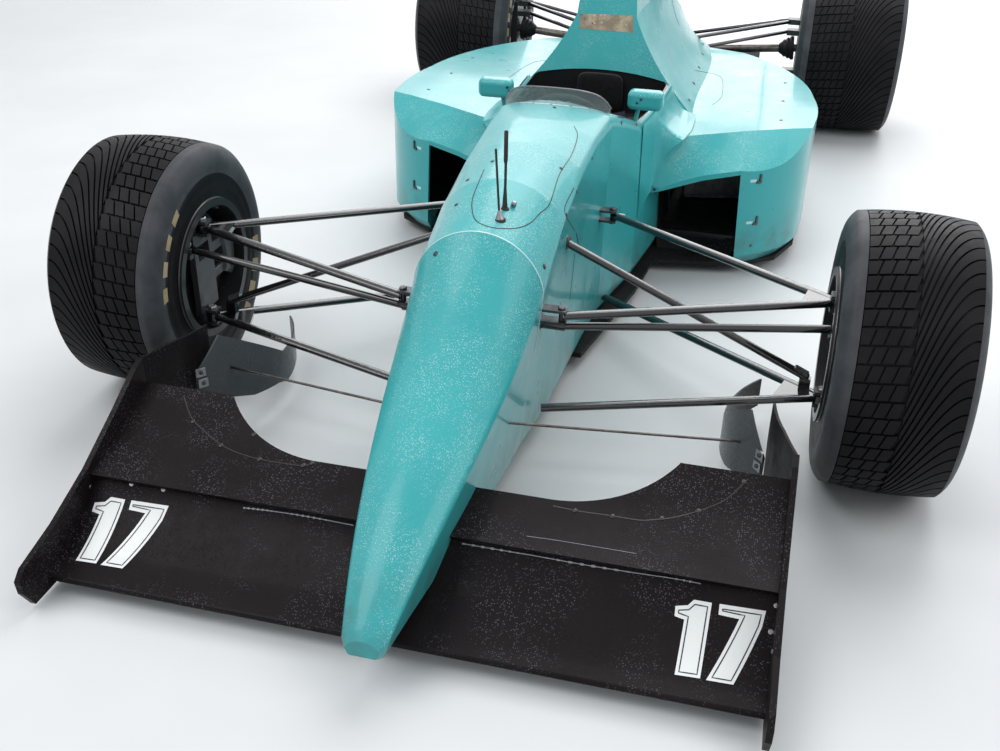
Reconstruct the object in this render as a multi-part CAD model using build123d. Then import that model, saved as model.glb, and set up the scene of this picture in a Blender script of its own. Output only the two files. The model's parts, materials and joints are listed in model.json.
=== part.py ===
"""Open wheel racing car of about 1990: single seat, high round nose, low front wing,
ducted side pods, airbox over the driver, and treaded wet weather tyres.

The car faces -Y, +Z is up and +X is its left side. Every station below is a distance
behind the front axle, and the finished pieces are moved together at the end, so that
the origin is on the ground at the centre of the car's box. All values are millimetres.
"""
import math
import os

from build123d import *

# Overall sizes
WHEELBASE = 2860
NOSE_OVERHANG = 1005
TAIL_OVERHANG = 500
MID_STATION = (WHEELBASE + TAIL_OVERHANG - NOSE_OVERHANG) / 2

# Wheels and tyres: radius, half of the widest section, centre from the car's middle
FRONT_TYRE_R = 317.5
FRONT_TYRE_HALF = 143
FRONT_TRACK_HALF = 907
REAR_TYRE_R = 334
REAR_TYRE_HALF = 210
REAR_TRACK_HALF = 846
RIM_FLANGE_R = 178
BEAD_SEAT_R = 165
BARREL_R = 159
AXLE_R = 20
RUNNING_GAP = 0.05

# Steering: kingpin, arm, rod and rack
KINGPIN_X = 768
KINGPIN_STATION = -25
KINGPIN_R = 8
UPPER_JOINT_Z = 436
LOWER_JOINT_Z = 192
STEERING_ARM = 80
TRACK_ROD_STATION = KINGPIN_STATION - STEERING_ARM
TRACK_ROD_Z = 408
RACK_STATION = -190
RACK_Z = 376
RACK_R = 11

# Front suspension: where each leg meets its bracket on the body
UPPER_PICKUPS = ((186, -206, 409), (190, 476, 386))
LOWER_PICKUPS = ((134, -152, 133), (168, 575, 92))
PUSHROD_TOP = (138, 42, 478)
PUSHROD_FOOT = (734, 8, 221)
PUSHROD_CLEVIS = (728, 6, 207)
UPPER_FORK = 84
LOWER_FORK = 114

# Body, floor and cockpit
NOSE_JOINT = -235
BULKHEAD = 1345
TUB_END = 1750
FLOOR_Z = 32
FLOOR_THICKNESS = 14
DIFFUSER_START = 2600
DIFFUSER_END = 3280
DIFFUSER_Z = 198
FAIRING_STATION = 1319
FAIRING_FOOT_Z = 532
FAIRING_LEAN = 15

# Front wing
WING_HALF_SPAN = 700
END_PLATE_THICKNESS = 12
WING_EDGE_STATION = -900
WING_EDGE_Z = 45
FLAP_EDGE_STATION = -722

# Rear wing, gearbox and starter socket
REAR_WING_HALF = 490
SOCKET_R = 15
SOCKET_DEPTH = 60
SOCKET_Z = 245
GEARBOX_END = 3120


def upright_plane(station):
    """The cross-section plane at a station, with its own x along +X and its y up."""
    return Plane(origin=(0, station, 0), x_dir=(1, 0, 0), z_dir=(0, -1, 0))


def side_plane(x):
    """A lengthwise vertical plane, with its own x rearward and its y up."""
    return Plane(origin=(x, 0, 0), x_dir=(0, 1, 0), z_dir=(1, 0, 0))


def both_sides(part):
    """The same piece on the left and on the right."""
    return [part, mirror(part, about=Plane.YZ)]


def tube(start, end, radius):
    """A round bar between two points."""
    a = Vector(*start)
    b = Vector(*end)
    plane = Plane(origin=a, z_dir=b - a)
    return extrude(plane * Circle(radius), (b - a).length)


def blade(start, end, half_chord, half_thickness):
    """A streamlined bar between two points, its chord lying fore and aft."""
    a = Vector(*start)
    b = Vector(*end)
    along = b - a
    across = along.cross(Vector(0, 1, 0)).normalized()
    plane = Plane(origin=a, x_dir=across.cross(along).normalized(), z_dir=along)
    return extrude(plane * Ellipse(half_chord, half_thickness), along.length)


def outline(*points):
    """A closed face from corner points."""
    return make_face(Polyline(*points, close=True))


def bounded(*edges):
    """A closed face from lines and arcs that meet end to end."""
    return make_face(Curve(list(edges)).edges())


# Nose and tub: station, crease half width, crease z, crown z, sill half width, sill z
NOSE_SECTIONS = (
    (-990, 44, 122, 145, 36, 89),
    (-800, 82, 232, 268, 54, 84),
    (-520, 122, 340, 405, 84, 74),
    (NOSE_JOINT, 146, 470, 596, 102, 60),
)
NOSE_TIP = (-NOSE_OVERHANG, 33, 113, 132, 27, 96)
TUB_SECTIONS = (
    (NOSE_JOINT, 146, 470, 596, 102, 60),
    (-30, 146, 556, 644, 124, 53),
    (180, 147, 604, 664, 132, 50),
    (360, 150, 624, 670, 140, 48),
    (540, 160, 634, 668, 152, 48),
    (670, 186, 596, 634, 180, 48),
    (800, 214, 554, 590, 210, 48),
    (1070, 234, 534, 564, 252, 48),
    (BULKHEAD, 243, 530, 560, 268, 48),
)
TANK_SECTIONS = ((BULKHEAD, 236, 490, 510, 262, 48), (TUB_END, 250, 420, 440, 262, 48))
SHOULDER = 0.2


def hull_face(station, crease_half, crease_z, crown_z, sill_half, sill_z):
    """A cross-section with a crowned top, rounded shoulders and leaning flanks."""
    crown = ThreePointArc((crease_half, crease_z), (0, crown_z), (-crease_half, crease_z))
    flanks = Polyline(
        (-crease_half, crease_z),
        (-sill_half, sill_z),
        (sill_half, sill_z),
        (crease_half, crease_z),
    )
    face = make_face((crown + flanks).edges())
    shoulders = face.vertices().group_by(Axis.Y)[-1]
    face = fillet(shoulders, SHOULDER * crease_half)
    sills = face.vertices().group_by(Axis.Y)[0]
    face = fillet(sills, SHOULDER * sill_half)
    return upright_plane(station) * face


def nose_cone():
    """The nose from its blunt tip to the joint in front of the wishbones."""
    cone = loft([hull_face(*row) for row in NOSE_SECTIONS])
    tip = loft([hull_face(*NOSE_TIP), hull_face(*NOSE_SECTIONS[0])])
    return cone + tip


def tub_hull():
    """The tub's outside, from the nose joint to the tank bay behind the driver."""
    front = loft([hull_face(*row) for row in TUB_SECTIONS], ruled=True)
    return front + loft([hull_face(*row) for row in TANK_SECTIONS], ruled=True)


# Cockpit opening: half width, station
COCKPIT_PLAN = ((118, 548), (178, 700), (196, 800), (212, 1000), (222, 1330))
SEAT_FLOOR_Z = 80
FOOTWELL = (200, 420, 390)
FOOTWELL_CENTRE = (0, 370, 305)


def cockpit_cutter():
    """The space the driver sits in, open at the top, and the footwell ahead of it."""
    points = list(COCKPIT_PLAN) + [(-x, y) for x, y in reversed(COCKPIT_PLAN)]
    opening = fillet(outline(*points).vertices(), 35)
    well = extrude(Plane.XY.offset(SEAT_FLOOR_Z) * opening, 700)
    footwell = Pos(*FOOTWELL_CENTRE) * Box(*FOOTWELL)
    rack_bore = tube((-300, RACK_STATION, RACK_Z), (300, RACK_STATION, RACK_Z), RACK_R + 3)
    return well + footwell + rack_bore


# Engine cover: station, base half width, base z, neck half width, neck z,
# top half width, top z, crown z, hollow of the flank as a share of its run
COVER_SECTIONS = (
    (1290, 318, 438, 98, 715, 84, 905, 958, 0.035),
    (1650, 325, 405, 112, 728, 78, 890, 944, 0.08),
    (2150, 335, 380, 145, 640, 64, 750, 794, 0.09),
    (2900, 150, 360, 58, 470, 44, 520, 552, 0.09),
)
INTAKE_Z = 862
INTAKE = (124, 104)
INTAKE_DEPTH = 150


def cover_face(station, base_half, base_z, neck_half, neck_z, top_half, top_z, crown_z, flare):
    """A bottle-shaped section: wide hollow-sided base, narrow neck, round top."""
    run = base_half - neck_half
    rise = neck_z - base_z
    flare_x = (base_half + neck_half) / 2 - flare * rise
    flare_z = (base_z + neck_z) / 2 - flare * run
    face = bounded(
        ThreePointArc((base_half, base_z), (flare_x, flare_z), (neck_half, neck_z)),
        Line((neck_half, neck_z), (top_half, top_z)),
        ThreePointArc((top_half, top_z), (0, crown_z), (-top_half, top_z)),
        Line((-top_half, top_z), (-neck_half, neck_z)),
        ThreePointArc((-neck_half, neck_z), (-flare_x, flare_z), (-base_half, base_z)),
        Line((-base_half, base_z), (base_half, base_z)),
    )
    return upright_plane(station) * face


def engine_cover():
    """Fairing, airbox and cover, cut to the leaning face behind the driver's head."""
    cover = loft([cover_face(*row) for row in COVER_SECTIONS])
    lean = math.radians(FAIRING_LEAN)
    face = Plane(
        origin=(0, FAIRING_STATION, FAIRING_FOOT_Z),
        x_dir=(1, 0, 0),
        z_dir=(0, math.cos(lean), -math.sin(lean)),
    )
    cover = split(cover, bisect_by=face, keep=Keep.TOP)
    mouth = SlotOverall(*INTAKE, rotation=90)
    mouth_station = FAIRING_STATION + math.tan(lean) * (INTAKE_Z - FAIRING_FOOT_Z)
    back = upright_plane(mouth_station + INTAKE_DEPTH) * Pos(0, INTAKE_Z) * mouth
    return cover - extrude(back, 2 * INTAKE_DEPTH)


# Side pod: brow and roof along its width, as x, brow z at the foot station, then the
# ridge's station and z
ROOF_SECTIONS = (
    (150, 160, 985, 452),
    (240, 240, 985, 452),
    (390, 292, 1084, 450),
    (500, 308, 1150, 450),
    (630, 250, 1218, 450),
    (740, 230, 1262, 450),
)
BROW_FOOT_STATION = 900
ROOF_SLOPE = 0.045
ROOF_END = 2660
POD_FLOOR_Z = 85
POD_WALL = 14
TUCK = 34
INLET = ((180, 282), (265, 302), (390, 337), (501, 354), (513, 40), (180, 40))
OUTLET_FRONT = 2440


def roof_face(x, foot_z, ridge_station, ridge_z):
    """A lengthwise section of all that lies under the brow and the sloping roof."""
    end_z = ridge_z - ROOF_SLOPE * (ROOF_END - ridge_station)
    return side_plane(x) * outline(
        (BROW_FOOT_STATION, 0),
        (BROW_FOOT_STATION, foot_z),
        (ridge_station, ridge_z),
        (ROOF_END, end_z),
        (ROOF_END, 0),
    )


def pod_plan():
    """The pod seen from above: swept front, rounded corner, full side, narrowing tail."""
    return bounded(
        Line((160, 930), (265, 932)),
        Line((265, 932), (503, 1006)),
        ThreePointArc((503, 1006), (655, 1136), (706, 1310)),
        ThreePointArc((706, 1310), (717, 1500), (702, 1690)),
        ThreePointArc((702, 1690), (618, 2090), (420, 2450)),
        Line((420, 2450), (160, 2590)),
        Line((160, 2590), (160, 930)),
    )


def sidepod():
    """The left pod: a ducted shell with its inlet at the front and outlet at the back."""
    roof = loft([roof_face(*row) for row in ROOF_SECTIONS], ruled=True)
    plan = pod_plan()
    foot = Plane.XY.offset(FLOOR_Z + FLOOR_THICKNESS) * offset(plan, -TUCK)
    skirt = loft([foot, Plane.XY.offset(POD_FLOOR_Z) * plan], ruled=True)
    outer = skirt + (extrude(Plane.XY.offset(POD_FLOOR_Z) * plan, 500) & roof)
    inner = extrude(Plane.XY.offset(POD_FLOOR_Z + POD_WALL) * offset(plan, -POD_WALL), 500)
    inner &= Pos(0, POD_WALL, -POD_WALL) * roof
    mouth = extrude(upright_plane(1140) * outline(*INLET), 260)
    outlet = Pos(300, OUTLET_FRONT + 200, 215) * Box(260, 400, 250)
    open_side = Pos(100, 1750, POD_FLOOR_Z + 400) * Box(250, 1900, 800)
    return outer - inner - mouth - outlet - open_side


# Shoulder between cockpit rim and pod: station, rim x and z, foot x and z
SHOULDER_SECTIONS = (
    (922, 222, 500, 230, 300),
    (942, 228, 512, 248, 342),
    (964, 229, 518, 268, 394),
    (992, 230, 522, 316, 452),
    (1150, 234, 530, 326, 445),
    (1302, 238, 531, 318, 438),
)
SHOULDER_HOLLOW = 8
SHOULDER_ROOT = 40


def shoulder_face(station, rim_x, rim_z, foot_x, foot_z):
    """A section that falls in a hollow curve from the cockpit rim to the pod's top."""
    hollow = ((rim_x + foot_x) / 2 - SHOULDER_HOLLOW, (rim_z + foot_z) / 2 - SHOULDER_HOLLOW)
    face = bounded(
        ThreePointArc((rim_x, rim_z), hollow, (foot_x, foot_z)),
        Line((foot_x, foot_z), (foot_x, foot_z - POD_WALL)),
        Line((foot_x, foot_z - POD_WALL), (rim_x - SHOULDER_ROOT, foot_z - POD_WALL)),
        Line((rim_x - SHOULDER_ROOT, foot_z - POD_WALL), (rim_x, rim_z)),
    )
    return upright_plane(station) * face


def shoulder():
    """The left fairing that blends the cockpit's side into the pod."""
    return loft([shoulder_face(*row) for row in SHOULDER_SECTIONS], ruled=True)


def radiators():
    """A cooler core standing across each pod's duct."""
    core = Pos(400, 1500, 253) * Rot(0, 0, 12) * Box(210, 60, 300)
    return both_sides(core)


# Floor: half width, station
FLOOR_PLAN = (
    (150, 300),
    (235, 760),
    (258, 1000),
    (520, 1050),
    (640, 1140),
    (696, 1290),
    (706, 1600),
    (640, 2000),
    (600, 2300),
    (470, DIFFUSER_START),
)
FIN_XS = (-470, -204, 196, 462)


def underfloor():
    """Flat floor under tub and pods, and the diffuser that rises behind it."""
    points = list(FLOOR_PLAN) + [(-x, y) for x, y in reversed(FLOOR_PLAN)]
    flat = extrude(Plane.XY.offset(FLOOR_Z) * outline(*points), FLOOR_THICKNESS)
    ramp = outline(
        (DIFFUSER_START, FLOOR_Z),
        (DIFFUSER_END, DIFFUSER_Z),
        (DIFFUSER_END, DIFFUSER_Z + 10),
        (DIFFUSER_START, FLOOR_Z + FLOOR_THICKNESS),
    )
    diffuser = extrude(side_plane(-470) * ramp, 940)
    fin = outline(
        (DIFFUSER_START, FLOOR_Z),
        (DIFFUSER_END, 70),
        (DIFFUSER_END, DIFFUSER_Z + 2),
        (DIFFUSER_START, FLOOR_Z + 4),
    )
    fins = [extrude(side_plane(x) * fin, 8) for x in FIN_XS]
    return flat + diffuser + fins


def front_mainplane():
    """The main plane, hollow upward, in one section from plate to plate."""
    edge = (WING_EDGE_STATION, WING_EDGE_Z)
    lip = (WING_EDGE_STATION + 6, WING_EDGE_Z - 14)
    tail = (-706, 150)
    face = bounded(
        ThreePointArc(edge, (-800, 78), tail),
        ThreePointArc(tail, (-790, 58), lip),
        ThreePointArc(lip, (WING_EDGE_STATION - 5, WING_EDGE_Z - 8), edge),
    )
    return extrude(side_plane(-WING_HALF_SPAN) * face, 2 * WING_HALF_SPAN)


def front_flap():
    """The left flap, cut away in a hollow curve between its outer chord and the nose."""
    face = bounded(
        ThreePointArc((FLAP_EDGE_STATION, 168), (-600, 196), (-472, 250)),
        Line((-472, 250), (-472, 246)),
        ThreePointArc((-472, 246), (-600, 182), (FLAP_EDGE_STATION + 8, 156)),
        Line((FLAP_EDGE_STATION + 8, 156), (FLAP_EDGE_STATION, 168)),
    )
    flap = extrude(side_plane(60) * face, WING_HALF_SPAN - 60)
    cut = bounded(
        Line((50, -593), (252, -593)),
        ThreePointArc((252, -593), (390, -556), (486, -474)),
        Line((486, -474), (486, -400)),
        Line((486, -400), (50, -400)),
        Line((50, -400), (50, -593)),
    )
    return flap - extrude(cut, 500)


# End plate outline: station, z
END_PLATE = (
    (-982, 60),
    (-955, 14),
    (-860, 14),
    (-840, 34),
    (-470, 58),
    (-470, 308),
    (-500, 298),
    (-595, 246),
    (-727, 180),
    (-855, 134),
    (-965, 108),
    (-985, 90),
)
CURL_THICKNESS = 6
VANE_THICKNESS = 5


def curved_band(start, middle, end, thickness, bottom, height):
    """A standing sheet whose plan is an arc, thickened away from the car's middle."""
    inner = ThreePointArc(start, middle, end)
    shift = Vector(thickness, 0)
    face = bounded(
        inner,
        Line(end, Vector(*end) + shift),
        ThreePointArc(Vector(*end) + shift, Vector(*middle) + shift, Vector(*start) + shift),
        Line(Vector(*start) + shift, start),
    )
    return extrude(Plane.XY.offset(bottom) * face, height)


def end_plate():
    """The left end plate, with its rear edge curling inboard ahead of the tyre."""
    flat = extrude(side_plane(WING_HALF_SPAN) * outline(*END_PLATE), END_PLATE_THICKNESS)
    curl = curved_band((704, -472), (676, -385), (655, -258), CURL_THICKNESS, 58, 250)
    side = outline((-480, 40), (-300, 70), (-236, 292), (-330, 300), (-480, 320))
    return flat + (curl & extrude(side_plane(600) * side, 160))


def turning_vane():
    """The left vane: a curved sheet behind the end plate that bows inboard of the tyre."""
    sheet = curved_band((648, -342), (556, -118), (630, 145), VANE_THICKNESS, 50, 250)
    side = outline(
        (-360, 160),
        (-314, 130),
        (-211, 88),
        (-111, 70),
        (-60, 50),
        (160, 50),
        (160, 126),
        (-70, 140),
        (-288, 288),
        (-360, 180),
    )
    return sheet & extrude(side_plane(500) * side, 200)


def wing_stay():
    """A thin stay from the nose to the left vane."""
    return tube((90, -412, 243), (600, -268, 193), 3)


def wishbone(pickups, joint_z, fork_length):
    """Two streamlined legs that meet in a forging with an eye on the kingpin axis."""
    joint = Vector(KINGPIN_X, KINGPIN_STATION, joint_z)
    arm = Pos(joint) * Cylinder(19, 20)
    fork = [joint]
    for pickup in pickups:
        inner = Vector(*pickup)
        arm += blade(inner, joint - (joint - inner).normalized() * 12, 13, 9)
        fork.append(joint + (inner - joint).normalized() * fork_length)
    web = Plane(origin=joint, x_dir=fork[1] - joint, z_dir=(fork[1] - joint).cross(fork[2] - joint))
    corners = [web.to_local_coords(point) for point in fork]
    arm += extrude(web * outline(*[(c.X, c.Y) for c in corners]), 7, both=True)
    if joint_z == LOWER_JOINT_Z:
        arm += Pos(*PUSHROD_CLEVIS) * Box(26, 18, 30)
    return arm - Pos(joint) * Cylinder(KINGPIN_R + RUNNING_GAP, 60)


def pickup_brackets():
    """A clevis on the body's side at each upper leg's inner end."""
    brackets = []
    for x, station, z in UPPER_PICKUPS:
        plate = Pos(x - 24, station, z) * Box(62, 30, 6)
        brackets += [Pos(0, 0, side * 14) * plate for side in (-1, 1)]
        brackets.append(Pos(x - 4, station, z) * Cylinder(6, 34))
    return brackets


def front_pushrod():
    return blade(PUSHROD_TOP, PUSHROD_FOOT, 12, 9)


def front_upright():
    """The left upright: pin ears above and below, stub axle, caliper and steering arm."""
    middle_z = (UPPER_JOINT_Z + LOWER_JOINT_Z) / 2
    web_x = KINGPIN_X + 20
    web = Pos(web_x, KINGPIN_STATION + 12, middle_z) * Box(16, 92, 210)
    web -= Pos(web_x, KINGPIN_STATION + 12, middle_z + 52) * Box(20, 56, 40)
    pieces = [web]
    for z in (UPPER_JOINT_Z, LOWER_JOINT_Z):
        for side in (-1, 1):
            ear = Pos(KINGPIN_X + 8, KINGPIN_STATION, z + side * 16) * Box(50, 30, 8)
            pieces.append(ear)
        pieces.append(Pos(KINGPIN_X, KINGPIN_STATION, z) * Cylinder(KINGPIN_R, 42))
        pieces.append(Pos(KINGPIN_X + 28, KINGPIN_STATION, z) * Box(10, 30, 40))
    pieces.append(tube((KINGPIN_X + 20, 0, FRONT_TYRE_R), (FRONT_TRACK_HALF + 60, 0, FRONT_TYRE_R), AXLE_R))
    arm_z = TRACK_ROD_Z - 18
    arm_length = STEERING_ARM + 20
    pieces.append(Pos(KINGPIN_X + 22, KINGPIN_STATION - arm_length / 2, arm_z) * Box(12, arm_length, 12))
    pieces.append(Pos(KINGPIN_X + 10, TRACK_ROD_STATION, arm_z) * Box(34, 18, 12))
    pieces.append(Pos(KINGPIN_X, TRACK_ROD_STATION, TRACK_ROD_Z - 4) * Cylinder(5, 34))
    return pieces[0] + pieces[1:]


def track_rods():
    """The rack bar through the nose and a rod to each steering arm."""
    bar = tube((-190, RACK_STATION, RACK_Z), (190, RACK_STATION, RACK_Z), RACK_R)
    pin = Pos(KINGPIN_X, TRACK_ROD_STATION, TRACK_ROD_Z)
    rod = tube((180, RACK_STATION, RACK_Z), (KINGPIN_X - 13, TRACK_ROD_STATION, TRACK_ROD_Z), 9)
    side = rod + pin * Cylinder(16, 12) - pin * Cylinder(10, 40)
    return bar + both_sides(side)


def rim(half_width, disc_x):
    """A dished wheel with its brake disc, bored for the stub axle."""
    lip = 7
    section = outline(
        (-half_width, BARREL_R),
        (half_width, BARREL_R),
        (half_width, RIM_FLANGE_R),
        (half_width - lip, RIM_FLANGE_R),
        (half_width - lip, BEAD_SEAT_R),
        (-half_width + lip, BEAD_SEAT_R),
        (-half_width + lip, RIM_FLANGE_R),
        (-half_width, RIM_FLANGE_R),
    )
    barrel = revolve(section, Axis.X)
    dish_x = half_width - 75
    dish = Pos(dish_x, 0, 0) * Rot(0, 90, 0) * Cylinder(BARREL_R + 1, 14)
    window = Pos(dish_x, 0, 105) * Rot(0, 90, 0) * Cylinder(32, 40)
    for turn in range(6):
        dish -= Rot(turn * 60, 0, 0) * window
    hub = Pos((dish_x + disc_x) / 2, 0, 0) * Rot(0, 90, 0) * Cylinder(48, dish_x - disc_x + 40)
    disc = Pos(disc_x, 0, 0) * Rot(0, 90, 0) * Cylinder(136, 24)
    wheel = barrel + dish + hub + disc
    return wheel - Rot(0, 90, 0) * Cylinder(AXLE_R + RUNNING_GAP, 4 * half_width)


def tyre(radius, half_width, bead_half):
    """A tyre's section turned about its axle: tread, shoulders, sidewalls and beads."""
    tread_half = half_width - 20
    shoulder_r = radius - 9
    side_z = (radius + RIM_FLANGE_R) / 2
    bead_r = RIM_FLANGE_R - 1
    inner_r = BEAD_SEAT_R + 0.5
    section = bounded(
        ThreePointArc((-tread_half, shoulder_r), (0, radius), (tread_half, shoulder_r)),
        ThreePointArc((tread_half, shoulder_r), (half_width - 5, radius - 28), (half_width, side_z)),
        ThreePointArc((half_width, side_z), (half_width - 3, RIM_FLANGE_R + 20), (bead_half, bead_r)),
        Line((bead_half, bead_r), (bead_half, inner_r)),
        Line((bead_half, inner_r), (-bead_half, inner_r)),
        Line((-bead_half, inner_r), (-bead_half, bead_r)),
        ThreePointArc((-bead_half, bead_r), (-half_width + 3, RIM_FLANGE_R + 20), (-half_width, side_z)),
        ThreePointArc((-half_width, side_z), (-half_width + 5, radius - 28), (-tread_half, shoulder_r)),
    )
    return revolve(section, Axis.X)


REAR_JOINT_X = 582


def rear_upright():
    """The left rear upright with its stub axle, inboard of the wheel."""
    web_x = REAR_TRACK_HALF - REAR_TYRE_HALF + 16
    body = Pos(web_x, WHEELBASE, REAR_TYRE_R) * Box(36, 120, 250)
    for z in (448, 402, 230):
        body += Pos((REAR_JOINT_X + web_x) / 2, WHEELBASE, z) * Box(web_x - REAR_JOINT_X, 56, 22)
    axle = tube((web_x, WHEELBASE, REAR_TYRE_R), (REAR_TRACK_HALF + 120, WHEELBASE, REAR_TYRE_R), AXLE_R)
    return body + axle


# Rear legs: inner x, station and z, outer station and z
REAR_UPPER_LEGS = ((85, 2520, 395, -20, 448), (80, 2960, 330, 20, 448), (85, 2640, 320, 0, 402))
REAR_LOWER_LEGS = ((95, 2560, 180, -20, 230), (80, 3010, 190, 20, 230))


def rear_legs(rows):
    """Streamlined legs from the gearbox's side to the upright's lugs."""
    legs = []
    for inner_x, inner_station, inner_z, outer_shift, outer_z in rows:
        outer = (REAR_JOINT_X + 4, WHEELBASE + outer_shift, outer_z)
        legs.append(blade((inner_x, inner_station, inner_z), outer, 13, 8))
    return [side for leg in legs for side in both_sides(leg)]


def gearbox():
    """The case that carries the rear suspension and wing, with its starter socket."""
    case = loft([
        upright_plane(2400) * Pos(0, 230) * RectangleRounded(300, 300, 40),
        upright_plane(2800) * Pos(0, 245) * RectangleRounded(220, 230, 40),
        upright_plane(GEARBOX_END) * Pos(0, 250) * RectangleRounded(130, 150, 30),
    ])
    socket = upright_plane(GEARBOX_END) * Pos(0, SOCKET_Z) * Circle(SOCKET_R)
    return case - extrude(socket, SOCKET_DEPTH)


def engine_block():
    """The engine as one plain block between the tub and the gearbox."""
    return Pos(0, 2075, 245) * Box(440, 640, 350)


# Rear wing planes, each as its chord's front, its two middle heights and its back:
# front station and z, middle station, upper z, lower z, back station and z
REAR_PLANES = (
    (2960, 860, 3080, 826, 806, 3210, 862),
    (3205, 880, 3290, 895, 884, 3352, 945),
)


def rear_wing_planes():
    """Main plane and flap, hollow upward."""
    planes = []
    for front, front_z, middle, upper_z, lower_z, back, back_z in REAR_PLANES:
        face = bounded(
            ThreePointArc((front, front_z), (middle, upper_z), (back, back_z)),
            ThreePointArc((back, back_z), (middle, lower_z), (front, front_z)),
        )
        planes.append(extrude(side_plane(-REAR_WING_HALF) * face, 2 * REAR_WING_HALF))
    return planes


def rear_wing_end_plate():
    plate = outline((2920, 560), (3360, 560), (3360, 965), (2920, 900))
    return extrude(side_plane(REAR_WING_HALF) * fillet(plate.vertices(), 25), 10)


def rear_wing_pylon():
    """The left of the twin pylons from the gearbox to the main plane."""
    pylon = outline((2990, 300), (3110, 290), (3150, 815), (3020, 828))
    return extrude(side_plane(56) * pylon, 8)


def rain_light():
    return Pos(0, GEARBOX_END + 14, 312) * Box(80, 28, 50)


STEERING_HUB = (0, 720, 520)
STEERING_TILT = 0.35


def steering_wheel():
    """The wheel's ring, boss and spoke, and the column down to the bulkhead."""
    plane = Plane(origin=STEERING_HUB, x_dir=(1, 0, 0), z_dir=(0, 1, STEERING_TILT))
    ring = plane * Torus(125, 12)
    boss = extrude(plane * Circle(34), 24, both=True)
    spoke = extrude(plane * RectangleRounded(236, 34, 10), 5, both=True)
    column = extrude(plane * Circle(14), -230)
    return ring + boss + spoke + column


def seat():
    """A moulded seat's side view, as wide as the tub inside."""
    profile = outline(
        (860, 80),
        (1060, 80),
        (1330, 395),
        (1330, 420),
        (1290, 420),
        (1020, 130),
        (860, 130),
    )
    return extrude(side_plane(-165) * profile, 330)


def headrest():
    return fillet((Pos(0, 1313, 490) * Box(150, 34, 120)).edges(), 8)


def dashboard():
    panel = Pos(0, 600, 560) * Box(200, 10, 90)
    return panel - Pos(0, 600, 478) * Rot(90, 0, 0) * Cylinder(22, 60)


def windscreen():
    """A low curved screen standing on the cockpit's front lip."""
    band = bounded(
        ThreePointArc((146, 588), (0, 505), (-146, 588)),
        Line((-146, 588), (-142, 588)),
        ThreePointArc((-142, 588), (0, 509), (142, 588)),
        Line((142, 588), (146, 588)),
    )
    top = bounded(
        ThreePointArc((495, 714), (555, 683), (592, 638)),
        Line((592, 638), (592, 560)),
        Line((592, 560), (495, 560)),
        Line((495, 560), (495, 714)),
    )
    return extrude(Plane.XY.offset(570) * band, 200) & extrude(side_plane(-160) * top, 320)


def mirror_pod():
    """The left mirror's housing on its stalk."""
    body = fillet((Pos(218, 765, 628) * Box(100, 50, 54)).edges(), 16)
    return body + tube((192, 770, 560), (200, 768, 612), 6)


def antennas():
    """Two aerials of unequal height on the tub's hatch."""
    tall = tube((32, -135, 596), (32, -133, 789), 3) + Pos(32, -135, 612) * Cone(11, 4, 40)
    short = tube((32, -176, 586), (20, -176, 762), 2.5) + Pos(31, -176, 604) * Cone(13, 4, 40)
    return [tall, short]


def exhaust():
    """The left tailpipe, open at the back."""
    pipe = tube((190, 2400, 250), (215, 2590, 262), 32)
    return pipe - tube((192, 2420, 251), (216, 2600, 263), 28)


def driveshaft():
    outer_x = REAR_TRACK_HALF - REAR_TYRE_HALF
    return tube((90, WHEELBASE - 10, 290), (outer_x, WHEELBASE, REAR_TYRE_R), 17)


def write(name, part):
    """Moves a piece to the car's own frame and writes it."""
    if isinstance(part, list):
        solids = [solid for piece in part for solid in piece.solids()]
    else:
        solids = part.solids()
    moved = [Pos(0, -MID_STATION, 0) * solid for solid in solids]
    shape = moved[0] if len(moved) == 1 else Compound(children=moved)
    export_step(shape, f"parts/{name}.step")


def body_nodes(nose, hull, case):
    """Bodywork, wings and floor."""
    block = engine_block() - hull
    cover = engine_cover() - hull - block - case
    pod = (sidepod() + shoulder()) - block - hull - cover
    vane = turning_vane() - end_plate()
    planes = rear_wing_planes()
    return {
        "nose_cone": nose,
        "monocoque": hull - cockpit_cutter(),
        "engine_cover": cover,
        "sidepod_left": pod,
        "sidepod_right": mirror(pod, about=Plane.YZ),
        "radiators": radiators(),
        "underfloor": underfloor(),
        "front_wing_mainplane": front_mainplane() - nose,
        "front_wing_flaps": both_sides(front_flap() - nose),
        "front_wing_end_plates": both_sides(end_plate()),
        "turning_vanes": both_sides(vane),
        "wing_stays": both_sides(wing_stay() - nose - vane),
        "rear_wing_planes": planes,
        "rear_wing_end_plates": both_sides(rear_wing_end_plate()),
        "rear_wing_pylons": both_sides(rear_wing_pylon() - case - planes[0]),
        "rain_light": rain_light(),
        "engine_block": block,
        "gearbox": case,
        "exhausts": both_sides(exhaust() - case),
        "windscreen": windscreen() - hull,
        "mirrors": both_sides(mirror_pod() - hull),
        "antennas": [aerial - hull for aerial in antennas()],
        "seat": seat(),
        "headrest": headrest(),
        "dashboard": dashboard(),
    }


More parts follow.
